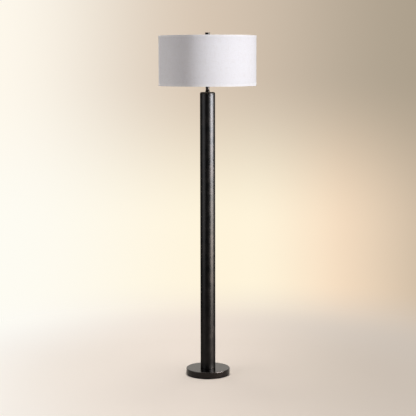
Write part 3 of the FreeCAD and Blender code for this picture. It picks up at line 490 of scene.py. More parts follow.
@dataclass(frozen=True)
class Linen(Finish):
    """Bleached plain-weave linen with slubs: matt white, with thicker threads here and there.

    The pattern lies on the cloth's own map, in metres along and across the bolt.
    """

    thread: float = 1.1              # mm; real threads are 0.6 mm apart, drawn coarser so that they show
    thread_depth: float = 0.16
    relief_share: float = 0.6
    white: str = "#F4F4F7"
    # the colour of the hollows between threads: painted shade
    hollow_shade: str = "#DAD7D6"
    slub: str = "#E4E1E0"
    slub_length: float = 0.035       # a slub's noise runs 30 threads along its thread
    slub_width: float = 0.9
    slub_range: tuple[float, float] = (0.52, 0.74)
    slub_rise: float = 0.5           # a slub stands half a crown proud
    wander: float = 1.4              # threads stray by so many of their own widths
    wander_scale: float = 0.11
    hollow_shade_share: float = 0.55       # how far the lowest threads take the hollows' painted shade
    hollow_shade_top: float = 0.75         # the height, in crowns, from which they take none
    slub_share: float = 0.8
    roughness: tuple[float, float] = (0.95, 0.8)
    matt: float = 0.5
    nap: float = 0.02                # loose fibre ends that catch a grazing light
    nap_roughness: float = 0.5
    gloss: float = 0.04

    def dress(self, tree: Tree, shader: bpy.types.Node) -> None:
        """Crossing threads as relief, slubs in the colour and painted shade in the hollows. See Finish.dress.
        """
        bolt = add_node(tree, "ShaderNodeUVMap", uv_map="bolt").outputs["UV"]
        per_thread = 1.0 / mm(self.thread)
        threads = add_node(tree, "ShaderNodeMapping",
                           {"Vector": bolt, "Scale": (per_thread, per_thread, 1.0)}).outputs["Vector"]
        wander = add_node(tree, "ShaderNodeTexNoise",
                          {"Vector": threads, "Scale": self.wander_scale, "Detail": 2.0})
        shifted = add_node(tree, "ShaderNodeVectorMath",
                           {0: wander.outputs["Color"], "Scale": self.wander}, operation="SCALE").outputs[0]
        moved = add_node(tree, "ShaderNodeVectorMath", {0: threads, 1: shifted}, operation="ADD").outputs[0]
        split = add_node(tree, "ShaderNodeSeparateXYZ", {"Vector": moved})
        over = add_node(tree, "ShaderNodeTexChecker", {"Vector": moved, "Scale": 1.0}).outputs["Fac"]
        crowns = []
        for axis in ("X", "Y"):
            turn = add_node(tree, "ShaderNodeMath", {0: split.outputs[axis], 1: math.pi},
                            operation="MULTIPLY")
            wave = add_node(tree, "ShaderNodeMath", {0: turn.outputs[0]}, operation="SINE")
            crown = add_node(tree, "ShaderNodeMath", {0: wave.outputs[0]}, operation="ABSOLUTE")
            crowns.append(crown.outputs[0])
        weave = add_node(tree, "ShaderNodeMix", {0: over, 2: crowns[0], 3: crowns[1]}).outputs[0]
        slubs = []
        for drawn in ((self.slub_length, self.slub_width, 1.0), (self.slub_width, self.slub_length, 1.0)):
            along = add_node(tree, "ShaderNodeMapping", {"Vector": threads, "Scale": drawn}).outputs["Vector"]
            streak = add_node(tree, "ShaderNodeTexNoise", {"Vector": along, "Scale": 1.0, "Detail": 2.0})
            slubs.append(spread(tree, streak.outputs["Fac"], 0.0, 1.0, *self.slub_range))
        slub = add_node(tree, "ShaderNodeMath", {0: slubs[0], 1: slubs[1]}, operation="MAXIMUM").outputs[0]
        # Painted shade: the lowest parts of the weave, between the threads, are coloured darker.
        low = spread(tree, weave, self.hollow_shade_share, 0.0, 0.0, self.hollow_shade_top)
        ground = blended(tree, low, linear(self.white), linear(self.hollow_shade))
        height = add_node(tree, "ShaderNodeMath", {0: slub, 1: self.slub_rise, 2: weave},
                          operation="MULTIPLY_ADD").outputs[0]
        feed(tree, shader, {
            "IOR": PLAIN_IOR,
            "Diffuse Roughness": self.matt,
            "Sheen Weight": self.nap,
            "Sheen Roughness": self.nap_roughness,
            "Specular IOR Level": self.gloss,
            "Base Color": blended(tree, spread(tree, slub, 0.0, self.slub_share, 0.0, 1.0), ground,
                                  linear(self.slub)),
            "Roughness": spread(tree, weave, *self.roughness, 0.0, 1.0),
            "Normal": relief(tree, height, self.thread_depth, self.relief_share)})


# Satin and nearly black: the wax shows a light box as a soft pale band, and never as a clear image.
BLACKENED = PatinatedBronze("blackened_bronze_waxed", "blackened_bronze")
# The same bath on a spun disc: a thicker wax skin that mirrors the pale room on its flat top.
SPUN = PatinatedBronze("blackened_bronze_spun_disc", "blackened_bronze", dark="#130F0E", cloud="#1B1613",
                       roughness=0.25, swing=0.02, grain=Grain.AROUND, wear=0.2, wax=1.0, wax_gloss=0.2,
                       wax_ior=1.3)
# Burnished after the bath: small turned pieces split into a bright and a dark half.
POLISHED = PatinatedBronze("blackened_bronze_burnished", "polished_bronze", dark="#110E0B", cloud="#191410",
                           roughness=0.2, swing=0.03, grain=Grain.AROUND, wear=0.35, wax=0.2, wax_gloss=0.18)
# Dull and lumpy, with grey iron where the paint is thin.
CAST = CastPaint("cast_iron_painted", "cast_weight")
# Takes the light without any gloss.
FOAM = Foam("foam_rubber_black", "foam_rubber")
# A bright, hardly yellow skin, with the light in one thin line along a wire.
NICKEL = WorkedMetal("nickel_plate_on_steel", "nickel_wire", colour="#C7C2B6", dull="#A39E92")
# Bluer and duller than nickel, as on bolts.
ZINC = WorkedMetal("zinc_plate_on_steel", "zinc_steel", colour="#AEB2B4", dull="#7E8386", roughness=0.35)
# Warm, its gleam drawn out in rings.
BRASS = WorkedMetal("spun_brass_lacquered", "brass", colour="#C8A45C", dull="#9C7C40", roughness=0.24,
                    grain=Grain.AROUND)
# Pale grey, with a long soft gleam.
ALUMINIUM = WorkedMetal("drawn_aluminium", "aluminium", colour="#C9CACB", dull="#A9ABAD", roughness=0.3,
                        grain=Grain.AROUND)
# A thick, soft white gloss, with no metal showing through.
ENAMEL = Moulded("white_enamel_on_wire", "white_wire", colour="#EDEDEA", flow="#E2E1DC", roughness=0.3,
                 grain_size=1.6, grain_depth=0.02)
# Even and bright, a little glossy, so that it throws light back.
STYRENE = Moulded("styrene_sheet_white", "styrene_liner", colour="#F1F0EC", flow="#E9E7E1", roughness=0.42,
                  grain_size=2.5, ior=1.59)
# Black, with a soft light on its edges.
BLACK_PLASTIC = Moulded("nylon_black", "black_plastic", ior=1.53)
# Brown-black, with the hard gloss of a pressed resin.
PHENOLIC = Moulded("phenolic_resin_brown_black", "phenolic", colour="#17120F", flow="#221A14",
                   roughness=0.28, ior=1.6)
# Clean white with a slight gloss.
WHITE_PLASTIC = Moulded("polycarbonate_white", "white_plastic", colour="#EFEEEA", flow="#E6E4DF",
                        roughness=0.36, ior=1.58)
# Tan, dull and fibrous.
PAPER = FibrePaper("vulcanised_fibre_paper", "insulating_paper")
# Black, and as glossy as if it were wet.
BLACK_GLASS = Glassy("pressed_black_glass", "black_glass", colour="#0B0B0D", cloud="#141417")
# Milky under a clear gloss.
FROSTED = Glassy("frosted_glass_globe", "frosted_glass", roughness=0.25, glow=0.35)
# Matt and white: its threads show where the light grazes it.
LINEN = Linen("bleached_linen_plain_weave", "white_linen")
# The same cloth doubled over the edge, so a touch whiter, with lighter painted shade in its hollows.
HEM_LINEN = Linen("bleached_linen_folded_hem", "white_linen", white="#F8F8FA", hollow_shade="#E2E0DF")


# ---------------------------------------------------------------- meshes

@dataclass(frozen=True)
class Corner:
    """A corner of a turned profile, in millimetres: its radius, its level and its rounding."""

    radius: float
    level: float
    rounding: float = 0.0

    def spot(self) -> Vector:
        """The corner as a point of the profile's plane."""
        return Vector((self.radius, self.level))


@dataclass(frozen=True)
class Turning:
    """A profile turned about an upright axis, as a lathe leaves it.

    A ring's profile is a closed loop. A solid's starts and ends on the axis.
    """

    corners: tuple[Corner, ...]
    ring: bool = True
    segments: int = 128
    steps: int = 8

    def profile(self) -> list[Place]:
        """Rounds the corners and adds a support loop at each side of a rounding.

        Returns:
            Radius, level and edge wear of each point, in millimetres.
        """
        points = []
        count = len(self.corners)
        for number, corner in enumerate(self.corners):
            here = corner.spot()
            if corner.rounding == 0.0:
                points.append((here.x, here.y, 0.0))
                continue
            back = (self.corners[number - 1].spot() - here).normalized()
            ahead = (self.corners[(number + 1) % count].spot() - here).normalized()
            half = back.angle(ahead) / 2.0
            reach = corner.rounding / math.tan(half)
            middle = here + (back + ahead).normalized() * corner.rounding / math.sin(half)
            rim = arc_about(middle, here + back * reach, here + ahead * reach, self.steps)
            before, after = here + back * (reach + SUPPORT), here + ahead * (reach + SUPPORT)
            points.append((before.x, before.y, 0.0))
            points += [(spot.x, spot.y, 1.0) for spot in rim]
            points.append((after.x, after.y, 0.0))
        return points

    def piece(self, name: str, centre: tuple[float, float] = (0.0, 0.0)) -> Piece:
        """Turns the profile into a smooth mesh with a map in metres and its edge wear.

        Args:
            name: the piece's name.
            centre: where its axis stands, in millimetres.

        Returns:
            The piece, with its place in its mesh.
        """
        rows = self.profile()
        mesh = bmesh.new()
        map_layer = mesh.loops.layers.uv.new("bolt")
        wear = mesh.verts.layers.float.new("edge")
        loops = []
        for radius, level, worn in rows:
            places = self.segments if radius > ON_AXIS else 1
            loops.append([])
            for number in range(places):
                x, y, z = on_circle(radius, FULL_TURN * number / self.segments, level)
                vertex = mesh.verts.new((mm(centre[0] + x), mm(centre[1] + y), mm(z)))
                vertex[wear] = worn
                loops[-1].append(vertex)
        lengths = [0.0]
        for first, second in zip(rows, rows[1:] + rows[:1]):
            lengths.append(lengths[-1] + math.dist(first[:2], second[:2]))
        around = mm(max(row[0] for row in rows)) * FULL_TURN
        for number in range(len(loops) if self.ring else len(loops) - 1):
            lower, upper = loops[number], loops[(number + 1) % len(loops)]
            for place in range(self.segments):
                corners = []
                for loop, turn, row in ((lower, place, number), (lower, place + 1, number),
                                        (upper, place + 1, number + 1), (upper, place, number + 1)):
                    vertex = loop[turn % len(loop)]
                    if all(vertex is not kept for kept, _ in corners):
                        corners.append((vertex, (around * turn / self.segments, mm(lengths[row]))))
                if len(corners) < 3:
                    continue
                face = mesh.faces.new([vertex for vertex, _ in corners])
                for side, (_, spot) in zip(face.loops, corners):
                    side[map_layer].uv = spot
        bmesh.ops.recalc_face_normals(mesh, faces=mesh.faces)
        return finished_mesh(name, mesh)


def washer(inner: float, outer: float, low: float, top: float, inside: float,
           outside: float) -> tuple[Corner, ...]:
    """The profile of a plain ring with rounded edges, in millimetres.

    Args:
        inner: its bore's radius.
        outer: its outer radius.
        low: the level of its lower face.
        top: the level of its upper face.
        inside: the rounding of its bore's edges.
        outside: the rounding of its outer edges.

    Returns:
        The profile's corners.
    """
    return (Corner(inner, low, inside), Corner(outer, low, outside), Corner(outer, top, outside),
            Corner(inner, top, inside))


def finished_mesh(name: str, mesh: bmesh.types.BMesh) -> Piece:
    """Makes an object of a mesh, smooth but for its crisp edges.

    Args:
        name: the object's name.
        mesh: the mesh, which is used up.

    Returns:
        The object, at the origin.
    """
    data = bpy.data.meshes.new(name)
    mesh.to_mesh(data)
    mesh.free()
    data.shade_smooth()
    data.set_sharp_from_angle(angle=SHARP_ANGLE)
    piece = bpy.data.objects.new(name, data)
    bpy.context.scene.collection.objects.link(piece)
    return piece


def node_copy(node: str) -> Piece:
    """Copies a node's solid with its loose triangles merged, so that light runs smoothly over it.

    Args:
        node: the node's name.

    Returns:
        The copy.
    """
    loose = bmesh.new()
    loose.from_mesh(frame["nodes"][node].data)
    bmesh.ops.remove_doubles(loose, verts=loose.verts, dist=mm(MERGE))
    clean = bmesh.new()
    made = [clean.verts.new(vertex.co) for vertex in loose.verts]
    clean.verts.index_update()
    loose.verts.index_update()
    for face in loose.faces:
        clean.faces.new([made[vertex.index] for vertex in face.verts])
    loose.free()
    return finished_mesh(f"{node}_finished", clean)


def grown(name: str, source: Piece, tree: Tree, inputs: dict) -> Piece:
    """Runs a Geometry Nodes tree once and keeps what it makes as a plain mesh.

    Args:
        name: the new piece's name.
        source: the object whose mesh the tree works on, which is removed.
        tree: the tree.
        inputs: by input name, its value.

    Returns:
        The piece.
    """
    modifier = source.modifiers.new("growth", "NODES")
    modifier.node_group = tree
    for item in tree.interface.items_tree:
        if item.in_out == "INPUT" and item.name in inputs:
            modifier[item.identifier] = inputs[item.name]
    bpy.context.view_layer.update()
    shape = source.evaluated_get(bpy.context.evaluated_depsgraph_get())
    data = bpy.data.meshes.new_from_object(shape)
    source.modifiers.remove(modifier)
    bpy.data.objects.remove(source)
    data.name = name
    piece = bpy.data.objects.new(name, data)
    bpy.context.scene.collection.objects.link(piece)
    return piece


def path_object(name: str, points: Sequence[Sequence[float]], closed: bool = False) -> Piece:
    """An open or closed line of edges for a Geometry Nodes tree to follow.

    Args:
        name: the object's name.
        points: its points in millimetres.
        closed: whether the last joins the first.

    Returns:
        The object.
    """
    data = bpy.data.meshes.new(name)
    edges = [(number, number + 1) for number in range(len(points) - 1)]
    if closed:
        edges.append((len(points) - 1, 0))
    data.from_pydata([tuple(mm(part) for part in point) for point in points], edges, [])
    path = bpy.data.objects.new(name, data)
    bpy.context.scene.collection.objects.link(path)
    return path


# ---------------------------------------------------------------- Geometry Nodes trees

RIDGE_SHARE = 0.46                 # of the pitch: a ridge's half width, so that its turns nearly touch
TURN_STEPS = 48                    # points of a thread in one turn
FLATTEST_BEAD = (0.85, 0.85, 0.6)
FULLEST_BEAD = (1.1, 1.1, 0.8)


def new_tree(name: str, inputs: dict[str, str]) -> tuple[Tree, bpy.types.bpy_prop_collection]:
    """An empty Geometry Nodes tree with a geometry input and output and named inputs.

    Args:
        name: the tree's name.
        inputs: by input name, its kind of socket.

    Returns:
        The tree and what its inputs give.
    """
    tree = bpy.data.node_groups.new(name, "GeometryNodeTree")
    for way in ("INPUT", "OUTPUT"):
        tree.interface.new_socket("Geometry", in_out=way, socket_type="NodeSocketGeometry")
    for title, kind in inputs.items():
        tree.interface.new_socket(title, in_out="INPUT", socket_type=f"NodeSocket{kind}")
    return tree, add_node(tree, "NodeGroupInput").outputs


def end_tree(tree: Tree, finish: Output, shape: Output) -> None:
    """Ends a tree: real instances, smooth faces, the finish and the output.

    Args:
        tree: the tree.
        finish: the input that gives its finish.
        shape: the geometry it has made.
    """
    real = add_node(tree, "GeometryNodeRealizeInstances", {"Geometry": shape}).outputs[0]
    smooth = add_node(tree, "GeometryNodeSetShadeSmooth", {"Geometry": real}).outputs[0]
    dressed = add_node(tree, "GeometryNodeSetMaterial", {"Geometry": smooth, "Material": finish}).outputs[0]
    add_node(tree, "NodeGroupOutput", {"Geometry": dressed})


def wire_tree() -> Tree:
    """Round wire swept along the object's edges, in equal copies about the upright axis.

    Returns:
        The tree.
    """
    tree, given = new_tree("wire_along_a_path", {"Wire radius": "Float", "Sides": "Int", "Copies": "Int",
                                                 "Finish": "Material"})
    path = add_node(tree, "GeometryNodeMeshToCurve", {"Mesh": given["Geometry"]}).outputs[0]
    section = add_node(tree, "GeometryNodeCurvePrimitiveCircle",
                       {"Resolution": given["Sides"], "Radius": given["Wire radius"]}).outputs[0]
    wire = add_node(tree, "GeometryNodeCurveToMesh",
                    {"Curve": path, "Profile Curve": section, "Fill Caps": True}).outputs[0]
    centre = add_node(tree, "GeometryNodePoints", {"Count": given["Copies"]}).outputs[0]
    number = add_node(tree, "GeometryNodeInputIndex").outputs[0]
    share = add_node(tree, "ShaderNodeMath", {0: FULL_TURN, 1: given["Copies"]},
                     operation="DIVIDE").outputs[0]
    angle = add_node(tree, "ShaderNodeMath", {0: number, 1: share}, operation="MULTIPLY").outputs[0]
    turn = add_node(tree, "ShaderNodeCombineXYZ", {"Z": angle}).outputs[0]
    copies = add_node(tree, "GeometryNodeInstanceOnPoints",
                      {"Points": centre, "Instance": wire, "Rotation": turn}).outputs[0]
    end_tree(tree, given["Finish"], copies)
    return tree


def thread_tree() -> Tree:
    """A screw thread's ridge, added to the object's own core.

    Returns:
        The tree.
    """
    tree, given = new_tree("screw_thread", {"Root radius": "Float", "Depth": "Float", "Pitch": "Float",
                                            "Length": "Float", "Start": "Float", "Sides": "Int",
                                            "Finish": "Material"})
    turns = add_node(tree, "ShaderNodeMath", {0: given["Length"], 1: given["Pitch"]},
                     operation="DIVIDE").outputs[0]
    helix = add_node(tree, "GeometryNodeCurveSpiral",
                     {"Resolution": TURN_STEPS, "Rotations": turns, "Start Radius": given["Root radius"],
                      "End Radius": given["Root radius"], "Height": given["Length"]}).outputs[0]
    upright = add_node(tree, "GeometryNodeSetCurveNormal", {"Curve": helix}, mode="Z_UP").outputs[0]
    section = add_node(tree, "GeometryNodeCurvePrimitiveCircle",
                       {"Resolution": given["Sides"], "Radius": 1.0}).outputs[0]
    half_width = add_node(tree, "ShaderNodeMath", {0: given["Pitch"], 1: RIDGE_SHARE},
                          operation="MULTIPLY").outputs[0]
    shape = add_node(tree, "ShaderNodeCombineXYZ",
                     {"X": given["Depth"], "Y": half_width, "Z": 1.0}).outputs[0]
    flat = add_node(tree, "GeometryNodeTransform", {"Geometry": section, "Scale": shape}).outputs[0]
    ridge = add_node(tree, "GeometryNodeCurveToMesh",
                     {"Curve": upright, "Profile Curve": flat, "Fill Caps": True}).outputs[0]
    lift = add_node(tree, "ShaderNodeCombineXYZ", {"Z": given["Start"]}).outputs[0]
    placed = add_node(tree, "GeometryNodeTransform", {"Geometry": ridge, "Translation": lift}).outputs[0]
    joined = add_node(tree, "GeometryNodeJoinGeometry", {"Geometry": placed})
    feed(tree, joined, {"Geometry": given["Geometry"]})
    end_tree(tree, given["Finish"], joined.outputs[0])
    return tree


def bead_tree() -> Tree:
    """Weld beads on the object's points, each a little different.

    Returns:
        The tree.
    """
    tree, given = new_tree("weld_beads", {"Bead radius": "Float", "Seed": "Int", "Finish": "Material"})
    bead = add_node(tree, "GeometryNodeMeshIcoSphere",
                    {"Radius": given["Bead radius"], "Subdivisions": 3}).outputs[0]
    size = add_node(tree, "FunctionNodeRandomValue",
                    {0: FLATTEST_BEAD, 1: FULLEST_BEAD, "Seed": given["Seed"]}, data_type="FLOAT_VECTOR")
    beads = add_node(tree, "GeometryNodeInstanceOnPoints",
                     {"Points": given["Geometry"], "Instance": bead, "Scale": size.outputs[0]}).outputs[0]
    end_tree(tree, given["Finish"], beads)
    return tree


# ---------------------------------------------------------------- sub-assemblies

@dataclass
class Assembly(ABC):
    """A sub-assembly: it builds its pieces, dresses them and says what they stand for."""

    @abstractmethod
    def build(self) -> None:
        """Builds and dresses every piece of the sub-assembly."""

    def carry(self, piece: Piece, body: Body, finish: Finish, *nodes: str) -> Piece:
        """Dresses a piece and lets it ride on its body and stand for its nodes.

        Args:
            piece: the piece, in place.
            body: the body it rides on.
            finish: its finish.
            nodes: the nodes it stands for.

        Returns:
            The piece.
        """
        piece.data.materials.clear()
        piece.data.materials.append(finish.material())
        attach(piece, body.value)
        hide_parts(*nodes)
        log.info("%s on %s in %s, for %s", piece.name, body.value, finish.name, ", ".join(nodes) or "no node")
        return piece

    def refine(self, body: Body, finish: Finish, *nodes: str) -> None:
        """Replaces each node by its own shape with smooth light.

        Args:
            body: the body they are on.
            finish: their finish.
            nodes: the nodes.
        """
        for node in nodes:
            self.carry(node_copy(node), body, finish, node)

    def keep(self, node: str, finish: Finish) -> None:
        """Dresses a node that stays as it is.

        Args:
            node: the node.
            finish: its finish.
        """
        for place in frame["nodes"][node].material_slots:
            place.material = finish.material()
        log.info("%s kept in %s", node, finish.name)


@dataclass
class Base(Assembly):
    """Weighted round base: foam pad, pressed shell, cast weight, bushing and the clamp under it."""

    pad_radius: float = 99.0
    pad_height: float = 4.5
    pad_chamfer: float = 0.8
    pad_edge: float = 0.2
    radius: float = 102.75
    height: float = 26.5
    wall: float = 1.5
    edge: float = 2.5
    inner_edge: float = 1.0
    rim: float = 0.25
    pipe_hole: float = 5.15
    bushing_level: float = 11.0
    bushing_hole: float = 5.1
    drill_reach: float = 8.0

    def build(self) -> None:
        """Builds the base from the floor up."""
        self.build_pad()
        self.build_shell()
        self.keep("base_weight", CAST)
        self.refine(Body.STAND, BLACK_PLASTIC, "cord_bushing")
        self.refine(Body.STAND, ZINC, "lower_nut", "lower_lock_washer", "lower_washer")

    def build_pad(self) -> None:
        """Foam pad, its lower edge cut back."""
        corners = (Corner(0.0, 0.0), Corner(self.pad_radius - self.pad_chamfer, 0.0),
                   Corner(self.pad_radius, self.pad_chamfer),
                   Corner(self.pad_radius, self.pad_height, self.pad_edge), Corner(0.0, self.pad_height))
        self.carry(Turning(corners, ring=False).piece("floor_pad_foam"), Body.STAND, FOAM, "floor_pad")

    def build_shell(self) -> None:
        """Pressed shell with a rounded top edge and the bushing's hole in its rear wall."""
        low = self.pad_height
        top = low + self.height
        inside = self.radius - self.wall
        corners = (Corner(self.pipe_hole, top), Corner(self.radius, top, self.edge),
                   Corner(self.radius, low, self.rim), Corner(inside, low, self.rim),
                   Corner(inside, top - self.wall, self.inner_edge), Corner(self.pipe_hole, top - self.wall))
        shell = Turning(corners, segments=192).piece("base_shell_pressed")
        self.drill(shell)
        self.carry(shell, Body.STAND, SPUN, "base_shell")

    def drill(self, shell: Piece) -> None:
        """Cuts the bushing's hole through the rear wall.

        Args:
            shell: the shell.
        """
        near, far = self.radius - self.drill_reach, self.radius + self.drill_reach
        drill = Turning((Corner(0.0, near), Corner(self.bushing_hole, near), Corner(self.bushing_hole, far),
                         Corner(0.0, far)), ring=False, segments=48).piece("bushing_drill")
        lift = Matrix.Translation((0.0, 0.0, mm(self.pad_height + self.bushing_level)))
        drill.data.transform(lift @ Matrix.Rotation(math.radians(-90.0), 4, "X"))
        cut = shell.modifiers.new("bushing_hole", "BOOLEAN")
        cut.operation = "DIFFERENCE"
        cut.solver = "EXACT"
        cut.object = drill
        bpy.context.view_layer.update()
        result = bpy.data.meshes.new_from_object(shell.evaluated_get(bpy.context.evaluated_depsgraph_get()))
        shell.modifiers.remove(cut)
        shell.data = result
        bpy.data.objects.remove(drill)


@dataclass
class Column(Assembly):
    """Column: a foot ring, a long plain tube and a cap with a rounded shoulder, and the pipe inside."""

    radius: float = 35.0
    foot_bottom: float = 31.0
    foot_height: float = 4.5
    foot_edge: float = 1.8
    spigot_radius: float = 33.65
    spigot_bore: float = 31.15
    spigot_height: float = 14.0
    tube_length: float = 1280.5
    tube_wall: float = 1.2
    tube_parts: int = 12
    ring_edge: float = 0.2
    seam: float = 0.4
    cap_height: float = 12.0
    cap_edge: float = 7.0
    cap_web: float = 4.0
    pipe_hole: float = 5.15

    def build(self) -> None:
        """Builds the column from its foot to its cap."""
        self.build_foot()
        self.build_tube()
        self.build_cap()
        self.refine(Body.STAND, ZINC, "threaded_pipe")

    def build_foot(self) -> None:
        """Foot ring with its spigot."""
        low = self.foot_bottom
        seat = low + self.foot_height
        top = seat + self.spigot_height
        corners = (Corner(self.pipe_hole, low), Corner(self.radius, low, self.foot_edge),
                   Corner(self.radius, seat, self.ring_edge), Corner(self.spigot_radius, seat),
                   Corner(self.spigot_radius, top), Corner(self.spigot_bore, top),
                   Corner(self.spigot_bore, seat), Corner(self.pipe_hole, seat))
        self.carry(Turning(corners).piece("column_foot_ring"), Body.STAND, BLACKENED, "column_foot")

    def build_tube(self) -> None:
        """Plain tube with lightly broken ends."""
        low = self.foot_bottom + self.foot_height
        top = low + self.tube_length
        inside = self.radius - self.tube_wall
        rows = [Corner(self.radius, low, self.seam)]
        rows += [Corner(self.radius, low + self.tube_length * step / self.tube_parts)
                 for step in range(1, self.tube_parts)]
        rows += [Corner(self.radius, top, self.seam), Corner(inside, top), Corner(inside, low)]
        self.carry(Turning(tuple(rows)).piece("column_tube_drawn"), Body.STAND, BLACKENED, "column_tube")

    def build_cap(self) -> None:
        """Cap with a rounded shoulder and its spigot."""
        seam = self.foot_bottom + self.foot_height + self.tube_length
        low = seam - self.spigot_height
        top = seam + self.cap_height
        corners = (Corner(self.spigot_bore, low), Corner(self.spigot_radius, low),
                   Corner(self.spigot_radius, seam), Corner(self.radius, seam, self.seam),
                   Corner(self.radius, top, self.cap_edge),
                   Corner(self.pipe_hole, top), Corner(self.pipe_hole, top - self.cap_web),
                   Corner(self.spigot_bore, top - self.cap_web))
        cap = Turning(corners, steps=12).piece("column_cap_shoulder")
        self.carry(cap, Body.STAND, BLACKENED, "column_cap")


@dataclass
class Neck(Assembly):
    """Turned neck between the column and the shade, waisted between two straight rims."""

    bottom: float = 1328.0
    height: float = 30.0
    foot_radius: float = 10.25
    waist_radius: float = 8.3
    top_radius: float = 10.0
    lip: float = 3.0
    edge: float = 0.8
    bore: float = 5.15
    waist_steps: int = 24

    def build(self) -> None:
        """Builds the neck."""
        low = self.bottom
        top = low + self.height
        start = Vector((self.foot_radius, low + self.lip))
        end = Vector((self.top_radius, top - self.lip))
        middle = Vector((self.waist_radius, low + self.height / 2))
        corners = [Corner(self.bore, low), Corner(self.foot_radius, low, self.edge)]
        corners += [Corner(spot.x, spot.y) for spot in arc_points(start, middle, end, self.waist_steps)]
        corners += [Corner(self.top_radius, top, self.edge), Corner(self.bore, top)]
        self.carry(Turning(tuple(corners), segments=96).piece("neck_spool"), Body.STAND, POLISHED, "neck")


def arc_points(start: Vector, middle: Vector, end: Vector, steps: int) -> list[Vector]:
    """Points on the arc through three points.

    Args:
        start: its first point.
        middle: a point on it.
        end: its last point.
        steps: how many parts it is cut into.

    Returns:
        The points, both ends included.
    """
    first, second = middle - start, end - middle
    cross = first.x * second.y - first.y * second.x
    along, across = (start + middle) / 2, (middle + end) / 2
    gap = across - along
    reach = (gap.x * second.x + gap.y * second.y) / cross
    return arc_about(along + Vector((-first.y, first.x)) * reach, start, end, steps)


